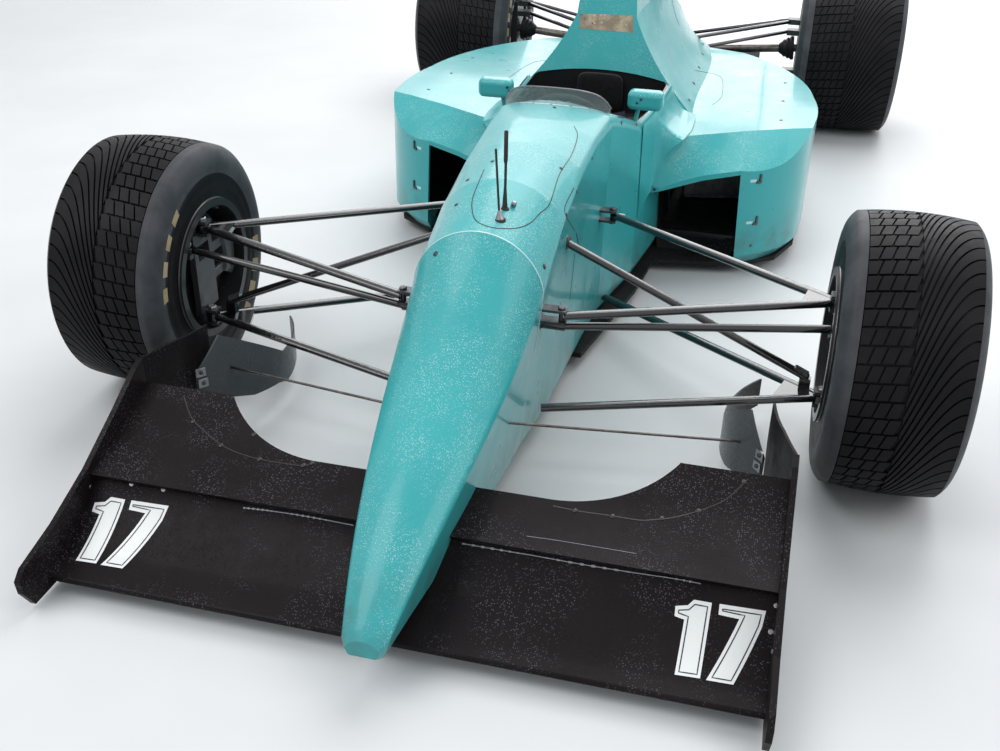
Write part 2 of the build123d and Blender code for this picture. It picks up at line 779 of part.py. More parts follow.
def running_gear_nodes(nose, hull, case, cover):
    """Suspension, steering, wheels and tyres."""
    skin = nose + hull
    hub = rear_upright()
    hubs = both_sides(hub)
    brackets = [bracket - skin for bracket in pickup_brackets()]
    left_brackets = brackets[0] + brackets[1:]
    upper = wishbone(UPPER_PICKUPS, UPPER_JOINT_Z, UPPER_FORK) - skin - left_brackets
    lower = wishbone(LOWER_PICKUPS, LOWER_JOINT_Z, LOWER_FORK) - skin
    nodes = {
        "front_upper_wishbones": both_sides(upper),
        "front_lower_wishbones": both_sides(lower),
        "front_suspension_brackets": both_sides(left_brackets),
        "front_pushrods": both_sides(front_pushrod() - skin - lower - upper),
        "rear_upper_wishbones": [leg - case - cover - hubs for leg in rear_legs(REAR_UPPER_LEGS)],
        "rear_lower_wishbones": [leg - case - hubs for leg in rear_legs(REAR_LOWER_LEGS)],
        "rear_uprights": hubs,
        "driveshafts": both_sides(driveshaft() - case - hub),
        "track_rods": track_rods(),
        "steering_wheel": steering_wheel(),
    }
    front = Pos(FRONT_TRACK_HALF, 0, FRONT_TYRE_R)
    rear = Pos(REAR_TRACK_HALF, WHEELBASE, REAR_TYRE_R)
    left_pieces = {
        "front_upright": front_upright(),
        "front_rim": front * rim(150, -85),
        "front_tyre": front * tyre(FRONT_TYRE_R, FRONT_TYRE_HALF, 142),
        "rear_rim": rear * rim(205, -120),
        "rear_tyre": rear * tyre(REAR_TYRE_R, REAR_TYRE_HALF, 197),
    }
    for name, part in left_pieces.items():
        nodes[f"{name}_left"] = part
        nodes[f"{name}_right"] = mirror(part, about=Plane.YZ)
    return nodes


def main():
    os.makedirs("parts", exist_ok=True)
    nose = nose_cone()
    hull = tub_hull()
    case = gearbox()
    nodes = body_nodes(nose, hull, case)
    nodes |= running_gear_nodes(nose, hull, case, nodes["engine_cover"])
    for name, part in nodes.items():
        write(name, part)


main()
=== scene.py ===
"""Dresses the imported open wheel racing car: paint, treaded tyres, fittings, camera and studio."""
import json
import math

import bmesh
import bpy
from mathutils import Matrix, Vector
from mathutils.bvhtree import BVHTree


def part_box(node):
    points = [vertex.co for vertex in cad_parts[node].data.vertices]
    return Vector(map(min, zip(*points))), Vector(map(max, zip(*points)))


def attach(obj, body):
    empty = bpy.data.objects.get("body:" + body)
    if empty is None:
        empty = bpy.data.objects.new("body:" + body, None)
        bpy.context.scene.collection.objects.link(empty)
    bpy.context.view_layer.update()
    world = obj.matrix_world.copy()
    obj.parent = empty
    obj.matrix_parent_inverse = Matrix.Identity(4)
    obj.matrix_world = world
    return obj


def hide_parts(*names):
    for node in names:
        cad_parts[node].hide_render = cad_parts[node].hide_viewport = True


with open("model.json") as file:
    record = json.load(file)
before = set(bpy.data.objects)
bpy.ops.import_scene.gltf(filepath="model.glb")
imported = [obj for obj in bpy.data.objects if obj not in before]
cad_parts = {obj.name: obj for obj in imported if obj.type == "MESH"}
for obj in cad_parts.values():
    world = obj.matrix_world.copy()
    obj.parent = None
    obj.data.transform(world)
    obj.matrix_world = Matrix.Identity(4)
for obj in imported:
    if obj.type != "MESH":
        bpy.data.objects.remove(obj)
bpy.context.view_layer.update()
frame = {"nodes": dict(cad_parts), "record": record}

# Camera, solved from the photograph
CAMERA_AT = Vector((0.571, -3.5475, 1.503))
YAW, PITCH, ROLL = 0.238, 0.517, 0.020
FOCAL_PX = 1116.5
IMAGE_W, IMAGE_H = 1000, 751
SENSOR_MM = 36

# The frame's middle lies this far behind the front axle
MID = 1.1775

# Middle of each wheel: x, station behind the front axle, height
FRONT_WHEEL = (0.907, 0.0, 0.3175)
REAR_WHEEL = (0.846, 2.86, 0.334)
SIDES = (("left", 1), ("right", -1))
DOWN = Vector((0, 0, -1))
REARWARD = Vector((0, 1, 0))
UPRIGHT = Vector((0, 0, 1))

forward = Vector((-math.sin(YAW) * math.cos(PITCH), math.cos(YAW) * math.cos(PITCH), -math.sin(PITCH)))
level_right = Vector((math.cos(YAW), math.sin(YAW), 0))
level_up = level_right.cross(forward)
right = level_right * math.cos(ROLL) + level_up * math.sin(ROLL)
up = level_up * math.cos(ROLL) - level_right * math.sin(ROLL)


def make_camera():
    data = bpy.data.cameras.new("camera")
    data.sensor_width = SENSOR_MM
    data.lens = SENSOR_MM * FOCAL_PX / IMAGE_W
    data.clip_end = 200
    camera = bpy.data.objects.new("camera", data)
    turn = Matrix((right, up, -forward)).transposed()
    camera.matrix_world = Matrix.Translation(CAMERA_AT) @ turn.to_4x4()
    bpy.context.scene.collection.objects.link(camera)
    bpy.context.scene.camera = camera


# Finding places on the CAD's surfaces
trees = {}


def tree(node):
    if node not in trees:
        mesh = frame["nodes"][node].data
        points = [v.co.copy() for v in mesh.vertices]
        trees[node] = BVHTree.FromPolygons(points, [tuple(p.vertices) for p in mesh.polygons])
    return trees[node]


def cast(nodes, origin, direction):
    """The nearest hit of a ray on one node or several, as (point, normal facing the ray)."""
    best = None
    for node in (nodes,) if isinstance(nodes, str) else nodes:
        point, normal, _, distance = tree(node).ray_cast(origin, direction)
        if point is not None and (best is None or distance < best[2]):
            facing = normal if normal.dot(direction) < 0 else -normal
            best = (point, facing, distance)
    return best[:2] if best else None


def at(x, station, z):
    """The point at x and z, and at a station behind the front axle."""
    return Vector((x, station - MID, z))


def sided(sign, x, station, z):
    """The point on the left side, or with sign -1 its mirror image."""
    return at(sign * x, station, z)


def at_pixel(nodes, px, py):
    """The hit behind a pixel of the photograph."""
    ray = forward * FOCAL_PX + right * (px - IMAGE_W / 2) - up * (py - IMAGE_H / 2)
    return cast(nodes, CAMERA_AT, ray.normalized())


def above(nodes, x, y):
    """The top of the nodes at a place in the frame."""
    return cast(nodes, Vector((x, y, 2)), DOWN)


def drop(nodes, x, station):
    """The top of the nodes at x and a station."""
    return above(nodes, x, station - MID)


def from_side(nodes, sign, station, z):
    return cast(nodes, at(sign * 2, station, z), Vector((-sign, 0, 0)))


def mirrored(hit):
    point, normal = hit
    return Vector((-point.x, point.y, point.z)), Vector((-normal.x, normal.y, normal.z))


def both(hits, twin=True):
    """A list of hits, and its mirror image when there is a twin side."""
    return [hits, [mirrored(h) for h in hits]] if twin else [hits]


def found(hits):
    """The hits that met something."""
    return [hit for hit in hits if hit]


def box_of(node):
    return [Vector(corner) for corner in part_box(node)]


def circle(steps):
    """Cosine and sine of evenly spaced angles."""
    angles = [2 * math.pi * k / steps for k in range(steps)]
    return [(math.cos(a), math.sin(a)) for a in angles]


def spoke(angle):
    """The direction at an angle in the plane of the wheels."""
    return Vector((0, math.cos(angle), math.sin(angle)))


# Materials
# The cockpit's walls and floor, painted dark as shade: wall lines as start station, half width and slope,
# then wall thickness, floor height and the cockpit's stations
TUB_WALLS = ((0.54, 0.160, 0.2077), (0.80, 0.214, 0.0532))
TUB_WALL, TUB_FLOOR_Z = 0.013, 0.055
COCKPIT = (0.62, 1.342)

# The air intake, painted dark inside as shade: centre height, half its straight side, radius, and the station
# of its back wall
INTAKE_Z, INTAKE_STRAIGHT, INTAKE_RADIUS, INTAKE_BACK = 0.862, 0.010, 0.0526, 1.5584

# The floor of a pod's duct, painted dark as shade: half width and top
SILL_HALF, SILL_TOP = 0.507, 0.1005


class Shader:
    """A small helper that adds nodes to one material."""

    def __init__(self, name):
        self.material = bpy.data.materials.new(name)
        self.material.use_nodes = True
        self.nodes = self.material.node_tree.nodes
        self.links = self.material.node_tree.links
        self.bsdf = self.nodes["Principled BSDF"]
        self.coords = self.nodes.new("ShaderNodeTexCoord").outputs["Object"]

    def plug(self, socket, value):
        """Links another socket in, or sets a number or a colour."""
        if isinstance(value, bpy.types.NodeSocket):
            self.links.new(value, socket)
        else:
            socket.default_value = (*value, 1) if isinstance(value, tuple) else value

    def add(self, kind, inputs=None, **settings):
        node = self.nodes.new(kind)
        for key, value in settings.items():
            setattr(node, key, value)
        for key, value in (inputs or {}).items():
            self.plug(node.inputs[key], value)
        return node

    def set(self, **inputs):
        for key, value in inputs.items():
            self.plug(self.bsdf.inputs[key.replace("_", " ")], value)
        return self.material

    def axes(self, vector=None):
        outputs = self.add("ShaderNodeSeparateXYZ", {"Vector": vector or self.coords}).outputs
        return outputs["X"], outputs["Y"], outputs["Z"]

    def noise(self, scale, detail=3, rough=0.55):
        inputs = {"Vector": self.coords, "Scale": scale, "Detail": detail, "Roughness": rough}
        return self.add("ShaderNodeTexNoise", inputs).outputs["Fac"]

    def spread(self, value, low, high, to_low=0.0, to_high=1.0):
        inputs = {"Value": value, "From Min": low, "From Max": high, "To Min": to_low, "To Max": to_high}
        return self.add("ShaderNodeMapRange", inputs).outputs["Result"]

    def vary(self, scale, low=0.0, high=1.0):
        """A value that wanders between low and high over the surface."""
        return self.spread(self.noise(scale), 0.3, 0.7, low, high)

    def mix(self, factor, first, second):
        return self.add("ShaderNodeMix", {0: factor, 6: first, 7: second}, data_type="RGBA").outputs[2]

    def math(self, operation, first, second=0.0):
        return self.add("ShaderNodeMath", {0: first, 1: second}, operation=operation).outputs[0]

    def times(self, *factors):
        product = factors[0]
        for factor in factors[1:]:
            product = self.math("MULTIPLY", product, factor)
        return product

    def bump(self, height, depth, strength):
        inputs = {"Height": height, "Distance": depth, "Strength": strength}
        return self.add("ShaderNodeBump", inputs).outputs["Normal"]

    def droplets(self, scale, share, size=0.42):
        """Beads of water: domes in a share of the cells of a fine pattern."""
        cells = self.add("ShaderNodeTexVoronoi", {"Vector": self.coords, "Scale": scale})
        dome = self.spread(cells.outputs["Distance"], size, 0.0)
        lottery = self.add("ShaderNodeSeparateColor", {"Color": cells.outputs["Color"]}).outputs[0]
        return self.times(self.math("SQRT", dome), self.math("GREATER_THAN", lottery, 1 - share))

    def cockpit_shade_mask(self):
        """One inside the cockpit's walls and floor, which are painted dark as shade, nought on the tub's
        painted outside.
        """
        x, y, z = self.axes()
        station = self.math("ADD", y, MID)
        fore, aft = [
            self.math("ADD", width - start * slope, self.times(station, slope))
            for start, width, slope in TUB_WALLS
        ]
        wall = self.math("SUBTRACT", self.math("MINIMUM", fore, aft), TUB_WALL)
        return self.times(
            self.math("LESS_THAN", self.math("SUBTRACT", self.math("ABSOLUTE", x), wall), 0),
            self.math("GREATER_THAN", station, COCKPIT[0]),
            self.math("LESS_THAN", station, COCKPIT[1]),
            self.math("GREATER_THAN", z, TUB_FLOOR_Z),
        )

    def intake_shade_mask(self):
        """One inside the air intake over the driver's head, which is painted dark as shade, nought on the
        skin around it.
        """
        x, y, z = self.axes()
        rise = self.math("ABSOLUTE", self.math("SUBTRACT", z, INTAKE_Z))
        rise = self.math("MAXIMUM", self.math("SUBTRACT", rise, INTAKE_STRAIGHT), 0.0)
        square = self.math("ADD", self.times(x, x), self.times(rise, rise))
        near = self.math("LESS_THAN", square, INTAKE_RADIUS ** 2)
        return self.times(near, self.math("LESS_THAN", y, INTAKE_BACK - MID))

    def pod_sill_shade_mask(self):
        """One on the floor of a pod's duct, which is painted dark as shade, nought on its painted outside."""
        x, _, z = self.axes()
        within = self.math("LESS_THAN", self.math("ABSOLUTE", x), SILL_HALF)
        return self.times(within, self.math("LESS_THAN", z, SILL_TOP))


TURQUOISE = (0.040, 0.38, 0.395)
TURQUOISE_SHADE = (0.036, 0.345, 0.362)
LOW_DARK_TONE = (0.09, 0.085, 0.075)
# Near black for painted shade inside the cockpit, the air intake and the floor of the pods' ducts
PAINTED_SHADE_BLACK = (0.012, 0.012, 0.013)


def wet_paint(name, inner=None):
    """Gloss paint with soft colour shifts, darker and browner in patches low down, rain standing in fine
    beads whose middles are painted pale as highlights, and painted shade where a mask is given.
    """
    s = Shader(name)
    colour = s.mix(s.spread(s.noise(2.4), 0.35, 0.65), TURQUOISE, TURQUOISE_SHADE)
    # Darker and browner towards the bottom, in patches
    low_darkening = s.times(s.spread(s.axes()[2], 0.22, 0.05), s.spread(s.noise(14), 0.35, 0.75))
    colour = s.mix(low_darkening, colour, LOW_DARK_TONE)
    upward = s.spread(s.axes(s.add("ShaderNodeNewGeometry").outputs["Normal"])[2], -0.1, 0.35)
    patches = s.times(upward, s.spread(s.noise(11), 0.28, 0.62))
    beads, fine = [s.times(s.droplets(scale, 0.45), patches) for scale in (330, 620)]
    drops = s.math("MAXIMUM", beads, s.times(fine, 0.6))
    # Painted highlight: each bead's middle is mixed towards a pale turquoise
    colour = s.mix(s.times(s.spread(drops, 0.15, 0.7), 0.5), colour, (0.66, 0.84, 0.84))
    # Painted shade: the part that the mask picks is filled near black
    if inner:
        colour = s.mix(inner(s), colour, PAINTED_SHADE_BLACK)
    normal = s.bump(drops, 0.0009, 0.35)
    return s.set(
        Base_Color=colour, Roughness=s.vary(9, 0.26, 0.38), Normal=normal, Coat_Normal=normal,
        Coat_Weight=0.55, Coat_Roughness=0.09, Coat_IOR=1.32, Specular_IOR_Level=0.22,
    )


def carbon(name, dark, light, gloss, share):
    """Woven carbon under lacquer, with a film of rain on it whose beads are painted pale grey as highlights.
    """
    s = Shader(name)
    weave = s.add("ShaderNodeTexChecker", {"Vector": s.coords, "Scale": 230})
    colour = s.mix(s.vary(5), dark, light)
    colour = s.mix(s.times(weave.outputs["Fac"], 0.25), colour, light)
    beads = s.droplets(260, share)
    bead_highlight = s.times(s.spread(beads, 0.3, 0.8), s.spread(s.noise(7), 0.46, 0.60))
    # Painted highlight: patches of beads are mixed towards a pale bluish grey
    colour = s.mix(s.times(bead_highlight, 0.55), colour, (0.16, 0.16, 0.19))
    normal = s.bump(beads, 0.001, 0.45)
    return s.set(
        Base_Color=colour, Roughness=s.vary(30, gloss, gloss + 0.16), Normal=normal, Coat_Normal=normal,
        Coat_Weight=0.04, Coat_Roughness=0.12, Specular_IOR_Level=0.06,
    )


def enamel(name, colour, wear, rough=0.22, coat=0.3):
    """Plain gloss or satin enamel with small chips."""
    s = Shader(name)
    chips = s.spread(s.noise(160, 4, 0.6), 0.68, 0.74)
    return s.set(
        Base_Color=s.mix(chips, colour, wear), Roughness=s.vary(22, rough, rough + 0.14),
        Normal=s.bump(s.noise(300), 0.0003, 0.15), Coat_Weight=coat, Coat_Roughness=0.08,
        Specular_IOR_Level=0.35,
    )


def metal(name, colour, shade, rough):
    s = Shader(name)
    return s.set(
        Base_Color=s.mix(s.spread(s.noise(45), 0.35, 0.7), colour, shade), Metallic=1.0,
        Normal=s.bump(s.noise(420, 2), 0.0003, 0.3), Roughness=s.vary(35, rough - 0.06, rough + 0.12),
    )


def rubber(name, dark, light, rough):
    """Worn, wet rubber with a faint sheen."""
    s = Shader(name)
    return s.set(
        Base_Color=s.mix(s.spread(s.noise(13), 0.35, 0.7), dark, light),
        Normal=s.bump(s.noise(700, 2), 0.0004, 0.35), Roughness=s.vary(40, rough, rough + 0.15),
        Coat_Weight=0.03, Coat_Roughness=0.3, Specular_IOR_Level=0.09,
    )


def worn_tape():
    """Tan tape, blotched and rubbed pale in places."""
    s = Shader("worn_tan_tape")
    tone = s.mix(s.spread(s.noise(28, 5, 0.65), 0.40, 0.62), (0.24, 0.20, 0.14), (0.46, 0.38, 0.26))
    tone = s.mix(s.spread(s.noise(55, 4, 0.6), 0.60, 0.68), tone, (0.66, 0.60, 0.50))
    tone = s.mix(s.spread(s.noise(40, 4, 0.7), 0.62, 0.70), tone, (0.09, 0.085, 0.07))
    return s.set(Base_Color=tone, Roughness=s.vary(30, 0.45, 0.7), Normal=s.bump(s.noise(90), 0.001, 0.4))


def cloth(name, dark, light):
    s = Shader(name)
    weave = s.add("ShaderNodeTexVoronoi", {"Vector": s.coords, "Scale": 900})
    return s.set(
        Base_Color=s.mix(s.vary(60), dark, light), Roughness=s.vary(80, 0.82, 0.95),
        Normal=s.bump(weave.outputs["Distance"], 0.0006, 0.5), Sheen_Weight=0.05, Specular_IOR_Level=0.15,
    )


def clear(name, colour, rough):
    """Clear plastic, slightly smoked and beaded with rain."""
    s = Shader(name)
    return s.set(
        Base_Color=s.mix(s.vary(8), colour, tuple(c * 0.85 for c in colour)),
        Normal=s.bump(s.droplets(190, 0.6), 0.0012, 0.6), Transmission_Weight=0.85, IOR=1.25,
        Roughness=s.vary(30, rough, rough + 0.08),
    )


def grey(level):
    return (level, level, level)


# The finishes of the part's slots, then those of single fittings
looks = {
    "body_paint": wet_paint("turquoise_paint"),
    "wing_carbon": carbon("wing_carbon_satin", (0.006, 0.0045, 0.005), (0.013, 0.010, 0.011), 0.34, 0.5),
    "floor_carbon": carbon("floor_carbon_matt", (0.010, 0.010, 0.011), grey(0.020), 0.5, 0.3),
    "suspension_black": enamel("black_enamel", (0.006, 0.006, 0.008), grey(0.10), 0.14, 0.9),
    "vane_grey": carbon("vane_grey_gloss", (0.055, 0.060, 0.066), (0.09, 0.095, 0.10), 0.16, 0.5),
    "rim_black": enamel("rim_black_satin", (0.014, 0.014, 0.016), grey(0.10), 0.34),
    "upright_metal": enamel("upright_casting", (0.040, 0.040, 0.044), grey(0.20), 0.38),
    "tyre_rubber": rubber("tyre_rubber_wet", (0.006, 0.006, 0.007), (0.011, 0.010, 0.012), 0.40),
    "bare_metal": metal("machined_alloy", (0.36, 0.36, 0.38), (0.22, 0.22, 0.23), 0.28),
    "case_metal": metal("cast_alloy", (0.32, 0.33, 0.34), (0.22, 0.22, 0.23), 0.42),
    "steel_tube": metal("tinted_steel", (0.15, 0.14, 0.13), (0.08, 0.07, 0.065), 0.3),
    "screen": clear("smoked_screen", (0.55, 0.62, 0.62), 0.10),
    "pad_fabric": cloth("black_pad_cloth", (0.004, 0.004, 0.0045), (0.009, 0.009, 0.010)),
    "trim_black": enamel("black_trim", (0.012, 0.012, 0.013), grey(0.05), 0.55),
    "lamp_red": enamel("red_lens", (0.35, 0.012, 0.012), (0.5, 0.05, 0.05), 0.15),
    "shoulder_grey": rubber("tyre_shoulder_grey", (0.045, 0.047, 0.052), (0.075, 0.077, 0.084), 0.42),
    "seam": enamel("seam_shadow", (0.012, 0.022, 0.024), (0.02, 0.03, 0.03), 0.6),
    "white": enamel("white_vinyl", (0.78, 0.80, 0.80), (0.60, 0.61, 0.60), 0.3),
    "line_black": enamel("black_vinyl", grey(0.004), grey(0.02), 0.45),
    # Pale finish for a highlight painted along the flap's edge
    "painted_edge_highlight": enamel("pale_painted_edge_highlight", (0.40, 0.41, 0.42), (0.08, 0.08, 0.085), 0.4),
    "ochre": enamel("faded_ochre_mark", (0.36, 0.27, 0.15), (0.10, 0.085, 0.06), 0.6),
    "tape": worn_tape(),
    "mirror": metal("mirror_glass", (0.80, 0.82, 0.84), (0.75, 0.77, 0.79), 0.09),
    "gauge": enamel("gauge_face", (0.05, 0.05, 0.055), grey(0.4), 0.3),
    "lip": enamel("pale_joint_lip", (0.42, 0.66, 0.66), (0.25, 0.45, 0.46), 0.3),
    "fastener": metal("dark_steel_fasteners", (0.11, 0.11, 0.12), (0.05, 0.05, 0.055), 0.38),
    "smoke_edge": enamel("smoked_edge", (0.16, 0.15, 0.17), (0.35, 0.35, 0.36), 0.2),
    "strap": cloth("blue_black_webbing", (0.012, 0.014, 0.030), (0.022, 0.025, 0.045)),
    "rim_edge": enamel("rim_edge_worn", (0.05, 0.05, 0.055), grey(0.45), 0.25),
    "lens": enamel("red_lens_ribs", (0.42, 0.015, 0.015), (0.5, 0.05, 0.05), 0.12),
}

# The slot that a fitting's own finish belongs to
SLOTS = {
    "seam": "body_paint", "lip": "body_paint", "tape": "body_paint", "white": "wing_carbon",
    "line_black": "wing_carbon", "painted_edge_highlight": "wing_carbon", "ochre": "tyre_rubber", "mirror": "bare_metal",
    "fastener": "bare_metal", "gauge": "trim_black", "smoke_edge": "wing_carbon", "strap": "pad_fabric",
    "rim_edge": "rim_black", "lens": "lamp_red",
}


def dress_cad():
    nodes = frame["nodes"]
    for row in frame["record"]["subparts"]:
        for holder in nodes[row["node"]].material_slots:
            holder.material = looks[row["material_slot"]]
    # Paint with painted shade filled into the cockpit, the pods' duct floors and the air intake
    pod_paint_with_painted_shade = wet_paint("pod_paint_with_painted_shade", Shader.pod_sill_shade_mask)
    for node, look in (
        ("monocoque", wet_paint("tub_paint_with_painted_shade", Shader.cockpit_shade_mask)), ("sidepod_left", pod_paint_with_painted_shade),
        ("sidepod_right", pod_paint_with_painted_shade), ("engine_cover", wet_paint("cover_paint_with_painted_shade", Shader.intake_shade_mask)),
        ("front_suspension_brackets", looks["fastener"]),
    ):
        nodes[node].material_slots[0].material = look


# Building pieces
class Build:
    """Collects verts and faces of many small forms for one piece."""

    def __init__(self):
        self.verts = []
        self.faces = []

    def add(self, verts, faces):
        start = len(self.verts)
        self.verts += verts
        self.faces += [tuple(start + i for i in face) for face in faces]

    def grid(self, rows, closed_rows=False, closed_cols=False):
        """A surface through rows of points."""
        n, m = len(rows), len(rows[0])
        faces = []
        for i in range(n if closed_rows else n - 1):
            for j in range(m if closed_cols else m - 1):
                a, b = i * m + j, i * m + (j + 1) % m
                c, d = ((i + 1) % n) * m + (j + 1) % m, ((i + 1) % n) * m + j
                faces.append((a, b, c, d))
        self.add([p for row in rows for p in row], faces)

    def cap(self, first, count, way=1):
        """A face over a ring of verts that starts at first."""
        self.faces.append(tuple(range(first, first + count))[::way])

    def tube(self, rows):
        """Rings joined to a tube with both ends closed."""
        self.grid(rows, closed_cols=True)
        count = len(rows[0])
        self.cap(len(self.verts) - len(rows) * count, count, -1)
        self.cap(len(self.verts) - count, count)

    def lathe(self, centre, axis, profile, steps=32):
        """A turned form: profile pairs are (distance along the axis, radius)."""
        axis = axis.normalized()
        side = axis.orthogonal().normalized()
        other = axis.cross(side)
        spokes = [side * c + other * s for c, s in circle(steps)]
        self.tube([[centre + axis * along + way * radius for way in spokes] for along, radius in profile])

    def stud(self, point, normal, radius, height, steps=12):
        """A fastener's head with a bevelled edge."""
        self.lathe(point, normal, ((-height, radius), (height * 0.6, radius), (height, radius * 0.78)), steps)

    def studs(self, hits, radius, height, steps=12):
        for point, normal in found(hits):
            self.stud(point, normal, radius, height, steps)

    def rod(self, points, radius, steps=12):
        """A round bar along points, of one radius or one at each point."""
        rows = []
        for i, point in enumerate(points):
            along = (points[min(i + 1, len(points) - 1)] - points[max(i - 1, 0)]).normalized()
            side = along.cross(UPRIGHT)
            side = side.normalized() if side.length > 0.05 else Vector((1, 0, 0))
            other = along.cross(side)
            size = radius[i] if isinstance(radius, list) else radius
            rows.append([point + (side * c + other * s) * size for c, s in circle(steps)])
        self.tube(rows)

    def slab(self, centre, half, turn=None, bevel=0.15):
        """A block with bevelled edges: eight-sided in plan, narrowed above and below."""
        turn = turn or Matrix.Identity(3)
        x, y, z = half
        cut = min(half) * bevel
        rows = []
        for level, inset in ((-z, cut), (-z + cut, 0), (z - cut, 0), (z, cut)):
            a, b = x - inset, y - inset
            ring = [
                (a, -b + cut), (a, b - cut), (a - cut, b), (-a + cut, b),
                (-a, b - cut), (-a, -b + cut), (-a + cut, -b), (a - cut, -b),
            ]
            rows.append([centre + turn @ Vector((p, q, level)) for p, q in ring])
        self.tube(rows)

    def seam(self, hits, width, proud=0.0006):
        """A narrow strip on the surface through hits."""
        rows = []
        for i, (point, normal) in enumerate(hits):
            along = hits[min(i + 1, len(hits) - 1)][0] - hits[max(i - 1, 0)][0]
            side = normal.cross(along).normalized() * width / 2
            lift = normal * proud
            rows.append([point - side - lift, point - side + lift, point + side + lift, point + side - lift])
        self.grid(rows)

    def done(self, name, look, body="chassis", sharp=32, slot=None):
        """The finished piece, which rides on a body and takes the finish of its look."""
        mesh = bpy.data.meshes.new(name)
        mesh.from_pydata([tuple(v) for v in self.verts], [], self.faces)
        mesh.validate()
        mesh.materials.append(looks[look])
        mesh.polygons.foreach_set("use_smooth", [True] * len(mesh.polygons))
        mesh.set_sharp_from_angle(angle=math.radians(sharp))
        obj = bpy.data.objects.new(name, mesh)
        bpy.context.scene.collection.objects.link(obj)
        slot = slot or SLOTS.get(look, look)
        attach(obj, body)
        return obj


def frame_of(normal, along):
    """A turn whose z is the normal and whose x lies along a direction."""
    z = normal.normalized()
    x = (along - z * along.dot(z)).normalized()
    return Matrix((x, z.cross(x), z)).transposed()


def smooth_path(points, per=6):
    """Catmull-Rom points through a list of tuples or vectors."""
    pts = [Vector(p) for p in points]
    pts = [pts[0] * 2 - pts[1]] + pts + [pts[-1] * 2 - pts[-2]]
    out = []
    for a, b, c, d in zip(pts, pts[1:], pts[2:], pts[3:]):
        for k in range(per):
            t = k / per
            out.append(0.5 * (2 * b + (c - a) * t + (2 * a - 5 * b + 4 * c - d) * t * t
                              + (3 * b - a - 3 * c + d) * t ** 3))
    out.append(pts[-2])
    return out


def pixel_line(nodes, pixels, per=6):
    """Hits along a smooth line drawn through pixels of the photograph."""
    return found(at_pixel(nodes, p.x, p.y) for p in smooth_path([(x, y, 0) for x, y in pixels], per))


# Tyres
RIM_FLANGE_R = 0.178
TREAD_DEPTH = 0.007
GROOVE = 0.0042
CROWN_DROP = 0.009

# The small blocks lean and slant, and the long outer ones sweep back by a power of their reach
BLOCK_LEAN, BLOCK_SLANT = 0.28, 0.10
SWEEP_POWER, SLOPE_POWER = 1.9, 0.9
SWEEP_STEPS = 16

CARCASS_STEPS = 120
RIB_R, RIB_HALF, RIB_PROUD = RIM_FLANGE_R + 0.034, 0.006, 0.0022
SHOULDER_DEPTH = 0.075
MARK_RADII = [RIM_FLANGE_R + rise for rise in (0.052, 0.066, 0.078)]
MARK_GROUPS, MARK_PITCH, MARK_LENGTH = (0.6, 0.6 + math.pi), 0.26, 0.15


def unwound(angle, near):
    """The angle, moved by whole turns to within half a turn of another."""
    while angle - near > math.pi:
        angle -= 2 * math.pi
    while angle - near < -math.pi:
        angle += 2 * math.pi
    return angle


def arc_points(first, middle, last, count):
    """Points on the arc through three points in the plane."""
    (ax, ay), (bx, by), (cx, cy) = first, middle, last
    a2, b2, c2 = ax**2 + ay**2, bx**2 + by**2, cx**2 + cy**2
    d = 2 * (ax * (by - cy) + bx * (cy - ay) + cx * (ay - by))
    ux = (a2 * (by - cy) + b2 * (cy - ay) + c2 * (ay - by)) / d
    uy = (a2 * (cx - bx) + b2 * (ax - cx) + c2 * (bx - ax)) / d
    radius = math.hypot(ax - ux, ay - uy)
    start = math.atan2(ay - uy, ax - ux)
    mid = unwound(math.atan2(by - uy, bx - ux), start)
    end = unwound(math.atan2(cy - uy, cx - ux), mid)
    angles = [start + (end - start) * k / count for k in range(count + 1)]
    return [(ux + radius * math.cos(a), uy + radius * math.sin(a)) for a in angles]


